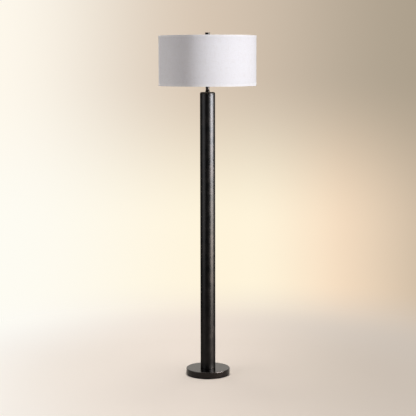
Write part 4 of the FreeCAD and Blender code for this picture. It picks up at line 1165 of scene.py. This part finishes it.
@dataclass
class Harp(Assembly):
    """Harp: a bent saddle, two wires with flat feet, a turned boss, two locking sleeves and a swivel post."""

    bottom: float = 1366.3
    height: float = 201.0
    wire: float = 2.0
    leg: float = 28.8
    straight: float = 32.0
    half_width: float = 58.0
    widest: float = 95.0
    flare: float = 30.0
    shoulder: float = 34.0
    leg_middle: float = 22.0
    sides: int = 24
    arc_steps: tuple[int, ...] = (10, 14, 24, 16)
    overlap: float = 1.0             # the wire starts inside its foot
    sunk: float = 0.6                # and ends inside the boss
    foot_height: float = 12.0
    foot_half_width: float = 2.8
    foot_half_thickness: float = 1.0
    foot_rows: tuple[tuple[float, float], ...] = (
        (0.0, 1.0), (0.3, 1.0), (8.5, 1.0), (9.5, 0.85), (10.5, 0.5), (11.4, 0.15), (12.0, 0.0))
    foot_square: float = 0.72        # how square a flat section is, where 0 is round
    foot_trim: float = 0.35
    boss_radius: float = 8.0
    boss_height: float = 5.4
    journal: float = 3.5
    bore_edge: float = 0.3
    boss_edge: float = 0.5
    sleeve_radius: float = 4.3
    sleeve_bore: float = 3.4
    sleeve_length: float = 14.0
    sleeve_bore_edge: float = 0.25
    sleeve_edge: float = 0.35
    post_fit: float = 0.05
    post_gap: float = 0.3
    head_radius: float = 5.5
    head_height: float = 1.8
    flange_radius: float = 9.0
    flange_height: float = 3.0
    thread_radius: float = 3.15
    thread_length: float = 14.0
    thread_pitch: float = 0.94
    thread_depth: float = 0.45
    thread_start: float = 0.8
    thread_runout: float = 1.9       # how much shorter than its core the ridge is
    flange_edge: float = 0.4
    tip_edge: float = 0.6

    def build(self) -> None:
        """Builds the harp from its saddle up."""
        self.refine(Body.STAND, NICKEL, "harp_saddle")
        wires = wire_tree()
        self.build_wire("harp_right_wire", 1.0, wires)
        self.build_wire("harp_left_wire", -1.0, wires)
        self.build_boss()
        self.build_sleeve("right_sleeve", Body.RIGHT_SLEEVE, self.leg)
        self.build_sleeve("left_sleeve", Body.LEFT_SLEEVE, -self.leg)
        self.build_post()

    def route(self) -> list[Vector]:
        """The wire's centre line from the top of its foot to the boss: a leg and four tangent arcs.

        Returns:
            Its points across and above the feet, in millimetres.
        """
        top = self.height - self.boss_height / 2
        spread_out = self.half_width - self.leg
        rise = self.widest - self.straight
        both = (spread_out ** 2 + rise ** 2) / (spread_out * 2)
        belly = both - self.flare
        flare_centre = Vector((self.leg + self.flare, self.straight))
        belly_centre = Vector((self.half_width - belly, self.widest))
        meet = flare_centre + (belly_centre - flare_centre).normalized() * self.flare
        reach = self.half_width - self.boss_radius
        climb = top - self.widest
        above = climb - self.shoulder
        side = (reach ** 2 + above ** 2 - self.shoulder ** 2) / ((reach - self.shoulder) * 2)
        side_centre = Vector((self.half_width - side, self.widest))
        shoulder_centre = Vector((self.boss_radius, top - self.shoulder))
        turn = shoulder_centre + (shoulder_centre - side_centre).normalized() * self.shoulder
        wide = Vector((self.half_width, self.widest))
        end = Vector((self.boss_radius, top))
        leg_top = Vector((self.leg, self.straight))
        points = [Vector((self.leg, self.foot_height - self.overlap)), Vector((self.leg, self.leg_middle))]
        arcs = ((flare_centre, leg_top, meet), (belly_centre, meet, wide), (side_centre, wide, turn),
                (shoulder_centre, turn, end))
        for arc, steps in zip(arcs, self.arc_steps):
            points += arc_about(*arc, steps)[:-1]
        return points + [end, end - Vector((self.sunk, 0.0))]

    def build_wire(self, node: str, side: float, tree: Tree) -> None:
        """One bent wire with its flattened foot.

        Args:
            node: the node it stands for.
            side: 1 for the right wire, -1 for the left.
            tree: the tree that sweeps the wire.
        """
        route = [(side * spot.x, 0.0, self.bottom + spot.y) for spot in self.route()]
        wire = grown(f"{node}_swept", path_object(f"{node}_path", route), tree,
                     {"Wire radius": mm(self.wire), "Sides": self.sides, "Copies": 1,
                      "Finish": NICKEL.material()})
        mesh = bmesh.new()
        mesh.from_mesh(wire.data)
        self.add_foot(mesh, side)
        whole = finished_mesh(f"{node}_bent", mesh)
        bpy.data.objects.remove(wire)
        self.carry(whole, Body.HARP, NICKEL, node)

    def add_foot(self, mesh: bmesh.types.BMesh, side: float) -> None:
        """Lofts the wire's hammered foot, flat at its end and round at its top.

        Args:
            mesh: the wire's mesh, which gets the foot.
            side: 1 for the right foot, -1 for the left.
        """
        rows = []
        for level, flatness in self.foot_rows:
            trim = 0.0 if level else self.foot_trim
            power = 1.0 - self.foot_square * flatness
            half_x = self.wire + (self.foot_half_thickness - self.wire) * flatness - trim
            half_y = self.wire + (self.foot_half_width - self.wire) * flatness - trim
            rows.append([])
            for number in range(self.sides):
                angle = FULL_TURN * (number + 0.5) / self.sides
                across, deep = (math.copysign(abs(part) ** power, part)
                                for part in (math.cos(angle), math.sin(angle)))
                rows[-1].append(mesh.verts.new((mm(side * self.leg + half_x * across), mm(half_y * deep),
                                                mm(self.bottom + level))))
        faces = [mesh.faces.new(rows[0]), mesh.faces.new(rows[-1])]
        for lower, upper in zip(rows, rows[1:]):
            for number in range(self.sides):
                beside = (number + 1) % self.sides
                faces.append(mesh.faces.new((lower[number], lower[beside], upper[beside], upper[number])))
        bmesh.ops.recalc_face_normals(mesh, faces=faces)

    def build_boss(self) -> None:
        """Turned boss that holds the wires and the post."""
        top = self.bottom + self.height
        profile = washer(self.journal, self.boss_radius, top - self.boss_height, top, self.bore_edge,
                         self.boss_edge)
        boss = Turning(profile, segments=64, steps=4).piece("harp_boss_turned")
        self.carry(boss, Body.HARP, NICKEL, "harp_boss")

    def build_sleeve(self, node: str, body: Body, across: float) -> None:
        """A locking sleeve with rounded ends.

        Args:
            node: the node it stands for.
            body: the body it rides on.
            across: where its axis stands, in millimetres.
        """
        profile = washer(self.sleeve_bore, self.sleeve_radius, self.bottom, self.bottom + self.sleeve_length,
                         self.sleeve_bore_edge, self.sleeve_edge)
        sleeve = Turning(profile, segments=48, steps=4).piece(f"{node}_tube", (across, 0.0))
        self.carry(sleeve, body, NICKEL, node)

    def build_post(self) -> None:
        """Swivel post: a head, a journal, the spider's seat and a cut thread."""
        low = self.bottom + self.height - self.boss_height - self.post_gap - self.head_height
        neck = low + self.head_height
        seat = self.bottom + self.height + self.post_gap
        seat_top = seat + self.flange_height
        top = seat_top + self.thread_length
        journal = self.journal - self.post_fit
        root = self.thread_radius - self.thread_depth
        corners = (Corner(0.0, low), Corner(self.head_radius, low, self.boss_edge),
                   Corner(self.head_radius, neck, self.bore_edge), Corner(journal, neck),
                   Corner(journal, seat), Corner(self.flange_radius, seat, self.flange_edge),
                   Corner(self.flange_radius, seat_top, self.flange_edge), Corner(root, seat_top),
                   Corner(root, top, self.tip_edge), Corner(0.0, top))
        core = Turning(corners, ring=False, segments=48, steps=4).piece("post_core")
        post = grown("harp_post_threaded", core, thread_tree(),
                     {"Root radius": mm(root), "Depth": mm(self.thread_depth), "Pitch": mm(self.thread_pitch),
                      "Length": mm(self.thread_length - self.thread_runout),
                      "Start": mm(seat_top + self.thread_start), "Sides": 4, "Finish": NICKEL.material()})
        post.data.set_sharp_from_angle(angle=SHARP_ANGLE)
        self.carry(post, Body.POST, NICKEL, "harp_post")


@dataclass
class Shade(Assembly):
    """Drum shade: linen on a styrene liner, folded hems, two wire rings and a three-armed spider."""

    bottom: float = 1357.1
    height: float = 228.0
    radius: float = 225.0
    hem: float = 0.6
    top_hem: float = 9.0
    bottom_hem: float = 11.0
    turn_in: float = 6.0
    cloth: float = 0.6
    liner: float = 0.5
    gap: float = 0.03
    wire: float = 1.6
    parts: int = 10
    fold: float = 0.45
    raw_edge: float = 0.2
    lap: float = 14.0
    lap_rise: float = 0.45
    lap_fade: float = 0.6            # how much of its rise the lap loses across itself
    lap_slope: float = 0.0012        # radians, the width of the free edge's slope
    lap_start: float = 0.1           # the lap starts to rise so far from a hem
    lap_full: float = 0.5
    rear: float = 200.0
    hub_bottom: float = 1570.9
    hub_radius: float = 14.0
    hub_hole: float = 5.25
    hub_thickness: float = 1.6
    hub_bore_edge: float = 0.25
    hub_edge: float = 0.3
    bend: float = 5.0
    bend_turns: range = range(0, 91, 9)     # degrees through the bend
    arms: int = 3
    arm_tuck: float = 1.0            # an arm starts inside the hub
    arm_stops: tuple[float, float] = (60.0, 140.0)
    arm_sink: float = 0.8            # and ends in the ring, in wire radii under its level
    sides: int = 20
    ring_steps: int = 192
    weld_radius: float = 2.2
    weld_seed: int = 7
    weld_out: float = 0.6
    weld_sink: float = 1.1           # wire radii
    cloth_radius: float = field(init=False)
    liner_radius: float = field(init=False)
    ring_radius: float = field(init=False)

    def __post_init__(self) -> None:
        """Works out the nested layers' radii."""
        self.cloth_radius = self.radius - self.hem - self.gap
        self.liner_radius = self.cloth_radius - self.cloth - self.gap
        self.ring_radius = self.liner_radius - self.liner - self.gap - self.wire

    def build(self) -> None:
        """Builds the shade's cloth, liner and frame."""
        cover = self.build_cover()
        hems = [self.build_hem(True), self.build_hem(False)]
        self.build_liner()
        self.build_frame()

    def build_cover(self) -> Piece:
        """Linen cover, its free edge lapped down the rear.

        Returns:
            The cover.
        """
        low = self.bottom + self.hem
        top = self.bottom + self.height - self.hem
        inner = self.cloth_radius - self.cloth
        levels = [low + (top - low) * step / self.parts for step in range(self.parts + 1)]
        outer = [Corner(self.cloth_radius, level) for level in levels]
        inside = [Corner(inner, level) for level in reversed(levels)]
        cover = Turning(tuple(outer + inside), segments=256).piece("shade_cover_linen")
        self.raise_lap(cover)
        return self.carry(cover, Body.SHADE, LINEN, "shade_cover")

    def raise_lap(self, cover: Piece) -> None:
        """Lifts the outer face where the cloth overlaps itself at the rear, between the hems.

        Args:
            cover: the cover.
        """
        mesh = bmesh.new()
        mesh.from_mesh(cover.data)
        half = self.lap / 2 / self.cloth_radius
        for offset in (-half, -half + self.lap_slope, half):
            across = Vector((-math.sin(offset), math.cos(offset), 0.0)).cross(Vector((0.0, 0.0, 1.0)))
            rear = [item for item in [*mesh.verts, *mesh.edges, *mesh.faces]
                    if min(vertex.co.y for vertex in getattr(item, "verts", [item])) > mm(self.rear)]
            bmesh.ops.bisect_plane(mesh, geom=rear, plane_co=(0.0, 0.0, 0.0), plane_no=across)
        low, high = self.bottom + self.bottom_hem, self.bottom + self.height - self.top_hem
        for level in (low + self.lap_start, low + self.lap_full, high - self.lap_full, high - self.lap_start):
            everything = [*mesh.verts, *mesh.edges, *mesh.faces]
            bmesh.ops.bisect_plane(mesh, geom=everything, plane_co=(0.0, 0.0, mm(level)),
                                   plane_no=(0.0, 0.0, 1.0))
        between = (self.lap_start + self.lap_full) / 2
        for vertex in mesh.verts:
            flat = math.hypot(vertex.co.x, vertex.co.y)
            angle = math.atan2(-vertex.co.x, vertex.co.y)
            outside = flat >= mm(self.cloth_radius - self.cloth / 2)
            if not outside or not mm(low + between) < vertex.co.z < mm(high - between):
                continue
            # Limits between the cuts, so that rounding can't put a cut's own points on the wrong side.
            if -half + self.lap_slope / 2 < angle < half + self.lap_slope / 6:
                fade = self.lap_fade * (angle + half) / (2 * half)
                grow = 1.0 + mm(self.lap_rise) / flat * (1.0 - fade)
                vertex.co.x *= grow
                vertex.co.y *= grow
        mesh.to_mesh(cover.data)
        mesh.free()
        cover.data.set_sharp_from_angle(angle=SHARP_ANGLE)

    def build_hem(self, upper: bool) -> Piece:
        """A strip of linen folded over one edge.

        Args:
            upper: whether it is the top hem.

        Returns:
            The hem.
        """
        edge = self.bottom + (self.height if upper else 0.0)
        way = -1.0 if upper else 1.0
        depth = self.top_hem if upper else self.bottom_hem
        turned_in = self.ring_radius - self.wire - self.gap
        corners = (Corner(self.radius, edge, self.fold),
                   Corner(self.radius, edge + way * depth, self.raw_edge),
                   Corner(self.radius - self.hem, edge + way * depth),
                   Corner(self.radius - self.hem, edge + way * self.hem),
                   Corner(turned_in, edge + way * self.hem), Corner(turned_in, edge + way * self.turn_in),
                   Corner(turned_in - self.hem, edge + way * self.turn_in, self.raw_edge),
                   Corner(turned_in - self.hem, edge, self.fold))
        node = "shade_top_hem" if upper else "shade_bottom_hem"
        hem = Turning(corners, segments=256, steps=4).piece(f"{node}_folded")
        return self.carry(hem, Body.SHADE, HEM_LINEN, node)

    def build_liner(self) -> None:
        """Stiff sheet that the linen is laid on."""
        low = self.bottom + self.hem
        top = self.bottom + self.height - self.hem
        inner = self.liner_radius - self.liner
        corners = (Corner(self.liner_radius, low), Corner(self.liner_radius, top), Corner(inner, top),
                   Corner(inner, low))
        liner = Turning(corners, segments=256).piece("shade_liner_sheet")
        self.carry(liner, Body.SHADE, STYRENE, "shade_liner")

    def build_frame(self) -> None:
        """Wire rings, spider arms, hub and the weld beads that join them."""
        tree = wire_tree()
        inset = self.hem + self.gap + self.wire
        top_level = self.bottom + self.height - inset
        swept = {"Wire radius": mm(self.wire), "Sides": self.sides, "Finish": ENAMEL.material()}
        for node, level in (("shade_bottom_ring", self.bottom + inset), ("shade_top_ring", top_level)):
            circle = [on_circle(self.ring_radius, FULL_TURN * step / self.ring_steps, level)
                      for step in range(self.ring_steps)]
            ring = grown(f"{node}_wire", path_object(f"{node}_path", circle, closed=True), tree,
                         swept | {"Copies": 1})
            self.carry(ring, Body.SHADE, ENAMEL, node)
        axis = self.hub_bottom + self.hub_thickness / 2
        start = self.ring_radius - self.bend
        arm = [(0.0, reach, axis) for reach in (self.hub_radius - self.arm_tuck, *self.arm_stops)]
        arm += [(0.0, start + self.bend * math.sin(math.radians(turn)),
                 axis + self.bend * (1.0 - math.cos(math.radians(turn)))) for turn in self.bend_turns]
        arm.append((0.0, self.ring_radius, top_level - self.wire * self.arm_sink))
        arms = grown("spider_arms_bent", path_object("spider_arm_path", arm), tree,
                     swept | {"Copies": self.arms})
        self.carry(arms, Body.SHADE, ENAMEL, "spider_arms")
        profile = washer(self.hub_hole, self.hub_radius, self.hub_bottom,
                         self.hub_bottom + self.hub_thickness, self.hub_bore_edge, self.hub_edge)
        hub = Turning(profile, segments=64, steps=3).piece("spider_hub_washer")
        self.carry(hub, Body.SHADE, ENAMEL, "spider_hub")
        spots = []
        for number in range(self.arms):
            angle = math.radians(90.0) + FULL_TURN * number / self.arms
            spots.append(on_circle(self.hub_radius + self.weld_out, angle, axis))
            spots.append(on_circle(self.ring_radius, angle, top_level - self.wire * self.weld_sink))
        welds = grown("spider_weld_beads", path_object("weld_spots", spots), bead_tree(),
                      {"Bead radius": mm(self.weld_radius), "Seed": self.weld_seed,
                       "Finish": ENAMEL.material()})
        self.carry(welds, Body.SHADE, ENAMEL)


@dataclass
class Finial(Assembly):
    """Finial: a small burnished drum on a stem and foot, with a brass insert."""

    bottom: float = 1572.8
    head_radius: float = 11.0
    head_height: float = 10.6
    stem_radius: float = 6.6
    stem_height: float = 16.4
    foot_radius: float = 8.5
    foot_height: float = 2.0
    foot_edge: float = 0.4
    edge: float = 1.2
    cavity: float = 5.05
    cavity_height: float = 10.3
    well: float = 3.45
    well_height: float = 14.0

    def build(self) -> None:
        """Builds the finial and dresses its insert."""
        low = self.bottom
        head = low + self.stem_height
        top = head + self.head_height
        corners = (Corner(self.cavity, low), Corner(self.foot_radius, low, self.foot_edge),
                   Corner(self.foot_radius, low + self.foot_height, self.foot_edge),
                   Corner(self.stem_radius, low + self.foot_height), Corner(self.stem_radius, head),
                   Corner(self.head_radius, head, self.edge), Corner(self.head_radius, top, self.edge),
                   Corner(0.0, top), Corner(0.0, low + self.well_height),
                   Corner(self.well, low + self.well_height), Corner(self.well, low + self.cavity_height),
                   Corner(self.cavity, low + self.cavity_height))
        self.carry(Turning(corners, segments=96).piece("finial_drum"), Body.FINIAL, POLISHED, "finial")
        self.refine(Body.INSERT, BRASS, "finial_insert")


@dataclass
class Socket(Assembly):
    """Turn-knob lamp socket on the pipe's end."""

    def build(self) -> None:
        """Dresses the socket's pieces and its switch."""
        self.refine(Body.STAND, BRASS, "socket_cap", "socket_shell", "socket_centre_contact",
                    "terminal_screws")
        self.refine(Body.STAND, ZINC, "socket_set_screw")
        self.refine(Body.STAND, PAPER, "socket_liner")
        self.refine(Body.STAND, PHENOLIC, "socket_body")
        self.refine(Body.STAND, ALUMINIUM, "socket_screw_shell")
        self.refine(Body.SWITCH, ZINC, "switch_spindle")
        self.refine(Body.SWITCH, PHENOLIC, "switch_rotor", "switch_knob")


@dataclass
class Bulb(Assembly):
    """Bulb: a threaded cap with its insulator and contact, a collar and a frosted globe."""

    cap_bottom: float = 1406.4
    cap_height: float = 20.0
    cap_radius: float = 13.0
    cap_wall: float = 0.5
    rim_height: float = 1.2
    rim_slope: float = 0.6
    rim_edge: float = 0.3
    rim_fillet: float = 0.2
    pitch: float = 3.63
    thread_depth: float = 0.75

    def build(self) -> None:
        """Dresses the bulb and rolls its cap's thread."""
        self.refine(Body.CARRIAGE, ZINC, "bulb_contact")
        self.refine(Body.BULB, BLACK_GLASS, "bulb_insulator")
        self.refine(Body.BULB, WHITE_PLASTIC, "bulb_collar")
        self.refine(Body.BULB, FROSTED, "bulb_globe")
        self.build_cap()

    def build_cap(self) -> None:
        """Thin cap with a rim at each end and a rolled, round thread between them."""
        low = self.cap_bottom
        top = low + self.cap_height
        root = self.cap_radius - self.thread_depth
        inside = root - self.cap_wall
        below = low + self.rim_height
        above = top - self.rim_height
        corners = (Corner(inside, low), Corner(self.cap_radius, low, self.rim_edge),
                   Corner(self.cap_radius, below, self.rim_fillet), Corner(root, below + self.rim_slope),
                   Corner(root, above - self.rim_slope), Corner(self.cap_radius, above, self.rim_fillet),
                   Corner(self.cap_radius, top), Corner(inside, top))
        core = Turning(corners, segments=64, steps=4).piece("cap_core")
        start = below + self.pitch / 2
        cap = grown("bulb_cap_threaded", core, thread_tree(),
                    {"Root radius": mm(root), "Depth": mm(self.thread_depth), "Pitch": mm(self.pitch),
                     "Length": mm(above - self.pitch / 2 - start), "Start": mm(start), "Sides": 12,
                     "Finish": ALUMINIUM.material()})
        cap.data.set_sharp_from_angle(angle=SHARP_ANGLE)
        self.carry(cap, Body.BULB, ALUMINIUM, "bulb_cap")


# ---------------------------------------------------------------- studio

@dataclass(frozen=True)
class Lamp:
    """A soft light box: its place and aim in metres, its size, its brightness and its tint.

    A grid in front of a box narrows its beam to an angle in degrees. A box for the bronze alone is
    a reflector that only the dark pieces see, which leaves cloth, glass and plate as they are.
    """

    name: str
    place: Place
    aim: Place
    width: float
    height: float
    radiance: float
    tint: str = "#FFFFFF"
    beam: float = 180.0
    bronze_only: bool = False

    def build(self, bronze: bpy.types.Collection) -> None:
        """Hangs the light, out of the camera's sight.

        Args:
            bronze: the bronze pieces.
        """
        data = bpy.data.lights.new(self.name, "AREA")
        data.shape = "RECTANGLE"
        data.size = self.width
        data.size_y = self.height
        data.spread = math.radians(self.beam)
        data.energy = self.radiance * math.pi * self.width * self.height * self.share_through()
        data.color = linear(self.tint)[:3]
        light = bpy.data.objects.new(self.name, data)
        light.location = self.place
        light.rotation_euler = (Vector(self.aim) - Vector(self.place)).to_track_quat("-Z", "Y").to_euler()
        light.visible_camera = False
        if self.bronze_only:
            light.light_linking.receiver_collection = bronze
        bpy.context.scene.collection.objects.link(light)
        log.info("%s of %.1f W", self.name, data.energy)

    def share_through(self) -> float:
        """Works out how much of an open box's light its grid lets through at the same brightness.

        Returns:
            The share, 1 for a box without a grid.
        """
        if self.beam >= 180.0:
            return 1.0
        half = math.radians(self.beam / 2)
        return (math.tan(half) - half) / math.tan(half)


@dataclass
class Studio:
    """Pale floor that fades into a pale warm room, soft lights and the camera. Its sizes are metres.

    A colour that changes from the left of the view to its right is three colours: left, middle, right.
    """

    floor_radius: float = 250.0
    floor_sides: int = 96
    stand_off: float = 5.6                                  # from the camera to the lamp
    fade: tuple[float, float] = (0.4, 1.7)                  # where the floor turns into the room's colour
    # All three run darker to the right: painted shade on the lit floor, the far floor and the room alike.
    near_floor: tuple[str, str, str] = ("#F6F0E8", "#F4EAE0", "#D0C6BA")
    far_floor: tuple[str, str, str] = ("#FDFBF6", "#F3E6D9", "#CEC4BA")
    wall: tuple[str, str, str] = ("#FEF8EC", "#D8C7B4", "#ADA08D")
    glow_left: str = "#FEFCF3"                              # the painted warm light low down, and how it goes on
    glow: tuple[tuple[str, float, float], ...] = (
        ("#FFF4DB", -0.18, 0.03), ("#F8E0C4", 0.03, 0.12), ("#C9B7A1", 0.085, 0.2))
    left_half: tuple[float, float] = (-0.18, 0.01)          # shares across over which a colour changes
    right_half: tuple[float, float] = (-0.03, 0.18)
    wall_foot: tuple[float, float] = (0.004, 0.095)         # nearness, 1 over the distance from the camera
    floor_edge: tuple[float, float] = (0.122, 0.152)
    # What metal and glass see: its strength in front of the lamp and behind it, from Y to Y.
    mirrored_floor: tuple[float, ...] = (0.06, 0.42, -1.5, 1.5)
    mirrored_wall: tuple[float, ...] = (0.05, 0.95, -0.35, 0.75)
    mirrored_tint: str = "#FFF8EE"
    soft_tint: str = "#F1F1FF"
    soft_strength: float = 0.19
    camera_place: Place = (0.0012, -5.627, 1.467)
    camera_dip: float = 6.857
    camera_roll: float = -0.1
    lens: float = 105.3
    sensor: float = 36.0
    lamps: tuple[Lamp, ...] = (
        Lamp("key_box", (2.5, -1.35, 1.7), (-0.35, -0.68, 1.45), 0.6, 0.8, 130.0, "#FBFBFF", 44.0),
        Lamp("key_gloss", (2.03, -0.86, 1.62), (0.0, 0.0, 1.5), 1.7, 1.7, 52.0, "#F7F9FF", bronze_only=True),
        Lamp("low_gloss", (2.03, -0.86, 0.3), (0.0, 0.0, 0.3), 1.7, 0.9, 24.0, "#FFF3E6", bronze_only=True),
        Lamp("left_window", (-2.8, -1.1, 1.0), (0.0, 0.0, 1.2), 2.4, 2.2, 0.8),
        Lamp("left_gloss", (-2.6, -1.4, 1.1), (0.0, 0.0, 1.0), 2.4, 2.4, 2.3, "#FBFBFF", bronze_only=True),
        Lamp("ceiling_silk", (0.0, 0.3, 4.4), (0.0, 0.0, 0.0), 2.4, 2.4, 8.9, "#FFFAF2"),
    )

    def build(self) -> None:
        """Builds the floor, the room's light, the lamps and the camera."""
        self.build_floor()
        self.build_room()
        bronze = self.bronze_pieces()
        for lamp in self.lamps:
            lamp.build(bronze)
        self.build_camera()

    def bronze_pieces(self) -> bpy.types.Collection:
        """Gathers the pieces of dark bronze.

        Returns:
            A collection of them, outside the scene's own.
        """
        bronze = bpy.data.collections.new("bronze_pieces")
        for piece in bpy.data.objects:
            if any(slot.name.startswith(BLACKENED.slot) for slot in piece.material_slots):
                bronze.objects.link(piece)
        return bronze

    def build_floor(self) -> None:
        """Round floor, truly lit near the lamp but with painted shade darkening its colour to the right,
        fading into the room's colour far off.
        """
        mesh = bmesh.new()
        bmesh.ops.create_circle(mesh, cap_ends=True, radius=self.floor_radius, segments=self.floor_sides)
        floor = finished_mesh("studio_floor", mesh)
        material = bpy.data.materials.new("studio_floor_matt")
        material.use_nodes = True
        tree = material.node_tree
        tree.nodes.clear()
        place = add_node(tree, "ShaderNodeTexCoord").outputs["Object"]
        split = add_node(tree, "ShaderNodeSeparateXYZ", {"Vector": place}).outputs
        away = add_node(tree, "ShaderNodeVectorMath", {0: place}, operation="LENGTH").outputs["Value"]
        reach = add_node(tree, "ShaderNodeMath", {0: away, 1: self.stand_off}, operation="ADD").outputs[0]
        across = add_node(tree, "ShaderNodeMath", {0: split["X"], 1: reach}, operation="DIVIDE").outputs[0]
        nearness = add_node(tree, "ShaderNodeMath", {0: 1.0, 1: reach}, operation="DIVIDE").outputs[0]
        # The lit floor's colour carries painted shade, darker to the right.
        matt = add_node(tree, "ShaderNodeBsdfDiffuse",
                        {"Color": self.across_colour(tree, across, *self.near_floor)})
        glossy = add_node(tree, "ShaderNodeLightPath").outputs["Is Glossy Ray"]
        mirrored = spread(tree, split["Y"], *self.mirrored_floor)
        strength = add_node(tree, "ShaderNodeMix", {0: glossy, 2: 1.0, 3: mirrored}).outputs[0]
        shine = add_node(tree, "ShaderNodeEmission",
                         {"Color": self.room_colour(tree, across, nearness), "Strength": strength})
        share = add_node(tree, "ShaderNodeMath",
                         {0: self.seen_directly(tree), 1: spread(tree, away, 0.0, 1.0, *self.fade)},
                         operation="MULTIPLY").outputs[0]
        mixed = add_node(tree, "ShaderNodeMixShader", {0: share, 1: matt.outputs[0], 2: shine.outputs[0]})
        add_node(tree, "ShaderNodeOutputMaterial", {"Surface": mixed.outputs[0]})
        floor.data.materials.append(material)

    def room_colour(self, tree: Tree, across: Output, nearness: Output) -> Output:
        """The room's pale colour, with painted light: a warm glow low down, and painted shade darker to the
        right and higher up.

        Args:
            tree: the node tree.
            across: the share across.
            nearness: 1 over the distance from the camera, where 0 is the horizon.

        Returns:
            The colour.
        """
        ground = self.across_colour(tree, across, *self.far_floor)
        low = linear(self.glow_left)
        for code, start, end in self.glow:
            low = blended(tree, spread(tree, across, 0.0, 1.0, start, end), low, linear(code))
        high = self.across_colour(tree, across, *self.wall)
        far = blended(tree, spread(tree, nearness, 0.0, 1.0, *self.wall_foot), high, low)
        return blended(tree, spread(tree, nearness, 0.0, 1.0, *self.floor_edge), far, ground)

    def across_colour(self, tree: Tree, across: Output, left: str, middle: str, right: str) -> Output:
        """A colour that changes from the left of the view to its right.

        Args:
            tree: the node tree.
            across: the share across.
            left: the colour at the left.
            middle: the colour behind the lamp.
            right: the colour at the right.

        Returns:
            The colour.
        """
        inner = blended(tree, spread(tree, across, 0.0, 1.0, *self.left_half), linear(left), linear(middle))
        return blended(tree, spread(tree, across, 0.0, 1.0, *self.right_half), inner, linear(right))

    def seen_directly(self, tree: Tree, glossy: bool = True) -> Output:
        """Whether the eye sees the surface, straight, through glass or in a metal.

        Args:
            tree: the node tree.
            glossy: whether what a metal sees counts.

        Returns:
            1 for a camera or transmission ray, and for a glossy one if it counts.
        """
        path = add_node(tree, "ShaderNodeLightPath").outputs
        seen = add_node(tree, "ShaderNodeMath", {0: path["Is Camera Ray"], 1: path["Is Transmission Ray"]},
                        operation="MAXIMUM").outputs[0]
        if not glossy:
            return seen
        return add_node(tree, "ShaderNodeMath", {0: seen, 1: path["Is Glossy Ray"]},
                        operation="MAXIMUM").outputs[0]

    def build_room(self) -> None:
        """The world: the pale room for the eye, a dim soft one for the light."""
        world = bpy.data.worlds.new("studio_room")
        bpy.context.scene.world = world
        world.use_nodes = True
        tree = world.node_tree
        tree.nodes.clear()
        way = add_node(tree, "ShaderNodeTexCoord").outputs["Generated"]
        split = add_node(tree, "ShaderNodeSeparateXYZ", {"Vector": way}).outputs
        eye = self.across_colour(tree, split["X"], *self.wall)
        seen = add_node(tree, "ShaderNodeBackground", {"Color": eye, "Strength": 1.0})
        mirrored = add_node(tree, "ShaderNodeBackground",
                            {"Color": linear(self.mirrored_tint),
                             "Strength": spread(tree, split["Y"], *self.mirrored_wall)})
        soft = add_node(tree, "ShaderNodeBackground",
                        {"Color": linear(self.soft_tint), "Strength": self.soft_strength})
        glossy = add_node(tree, "ShaderNodeLightPath").outputs["Is Glossy Ray"]
        lit = add_node(tree, "ShaderNodeMixShader", {0: glossy, 1: soft.outputs[0], 2: mirrored.outputs[0]})
        out = add_node(tree, "ShaderNodeMixShader",
                       {0: self.seen_directly(tree, glossy=False), 1: lit.outputs[0], 2: seen.outputs[0]})
        add_node(tree, "ShaderNodeOutputWorld", {"Surface": out.outputs[0]})

    def build_camera(self) -> None:
        """Long lens at chest height, looking a little down, as the photograph was taken."""
        data = bpy.data.cameras.new("photograph_view")
        data.lens = self.lens
        data.sensor_width = self.sensor
        camera = bpy.data.objects.new("photograph_view", data)
        camera.location = self.camera_place
        turn = Matrix.Rotation(math.radians(90.0 - self.camera_dip), 4, "X")
        camera.rotation_euler = (turn @ Matrix.Rotation(math.radians(self.camera_roll), 4, "Z")).to_euler()
        bpy.context.scene.collection.objects.link(camera)
        bpy.context.scene.camera = camera
        bpy.context.scene.view_settings.view_transform = "Standard"


def main() -> None:
    """Builds every sub-assembly in order, then the studio."""
    logging.basicConfig(level=logging.INFO, format="%(name)s: %(message)s")
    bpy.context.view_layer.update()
    for assembly in (Base(), Column(), Neck(), Harp(), Shade(), Finial(), Socket(), Bulb()):
        log.info("building %s", type(assembly).__name__.lower())
        assembly.build()
    Studio().build()


if __name__ == "__main__":
    main()
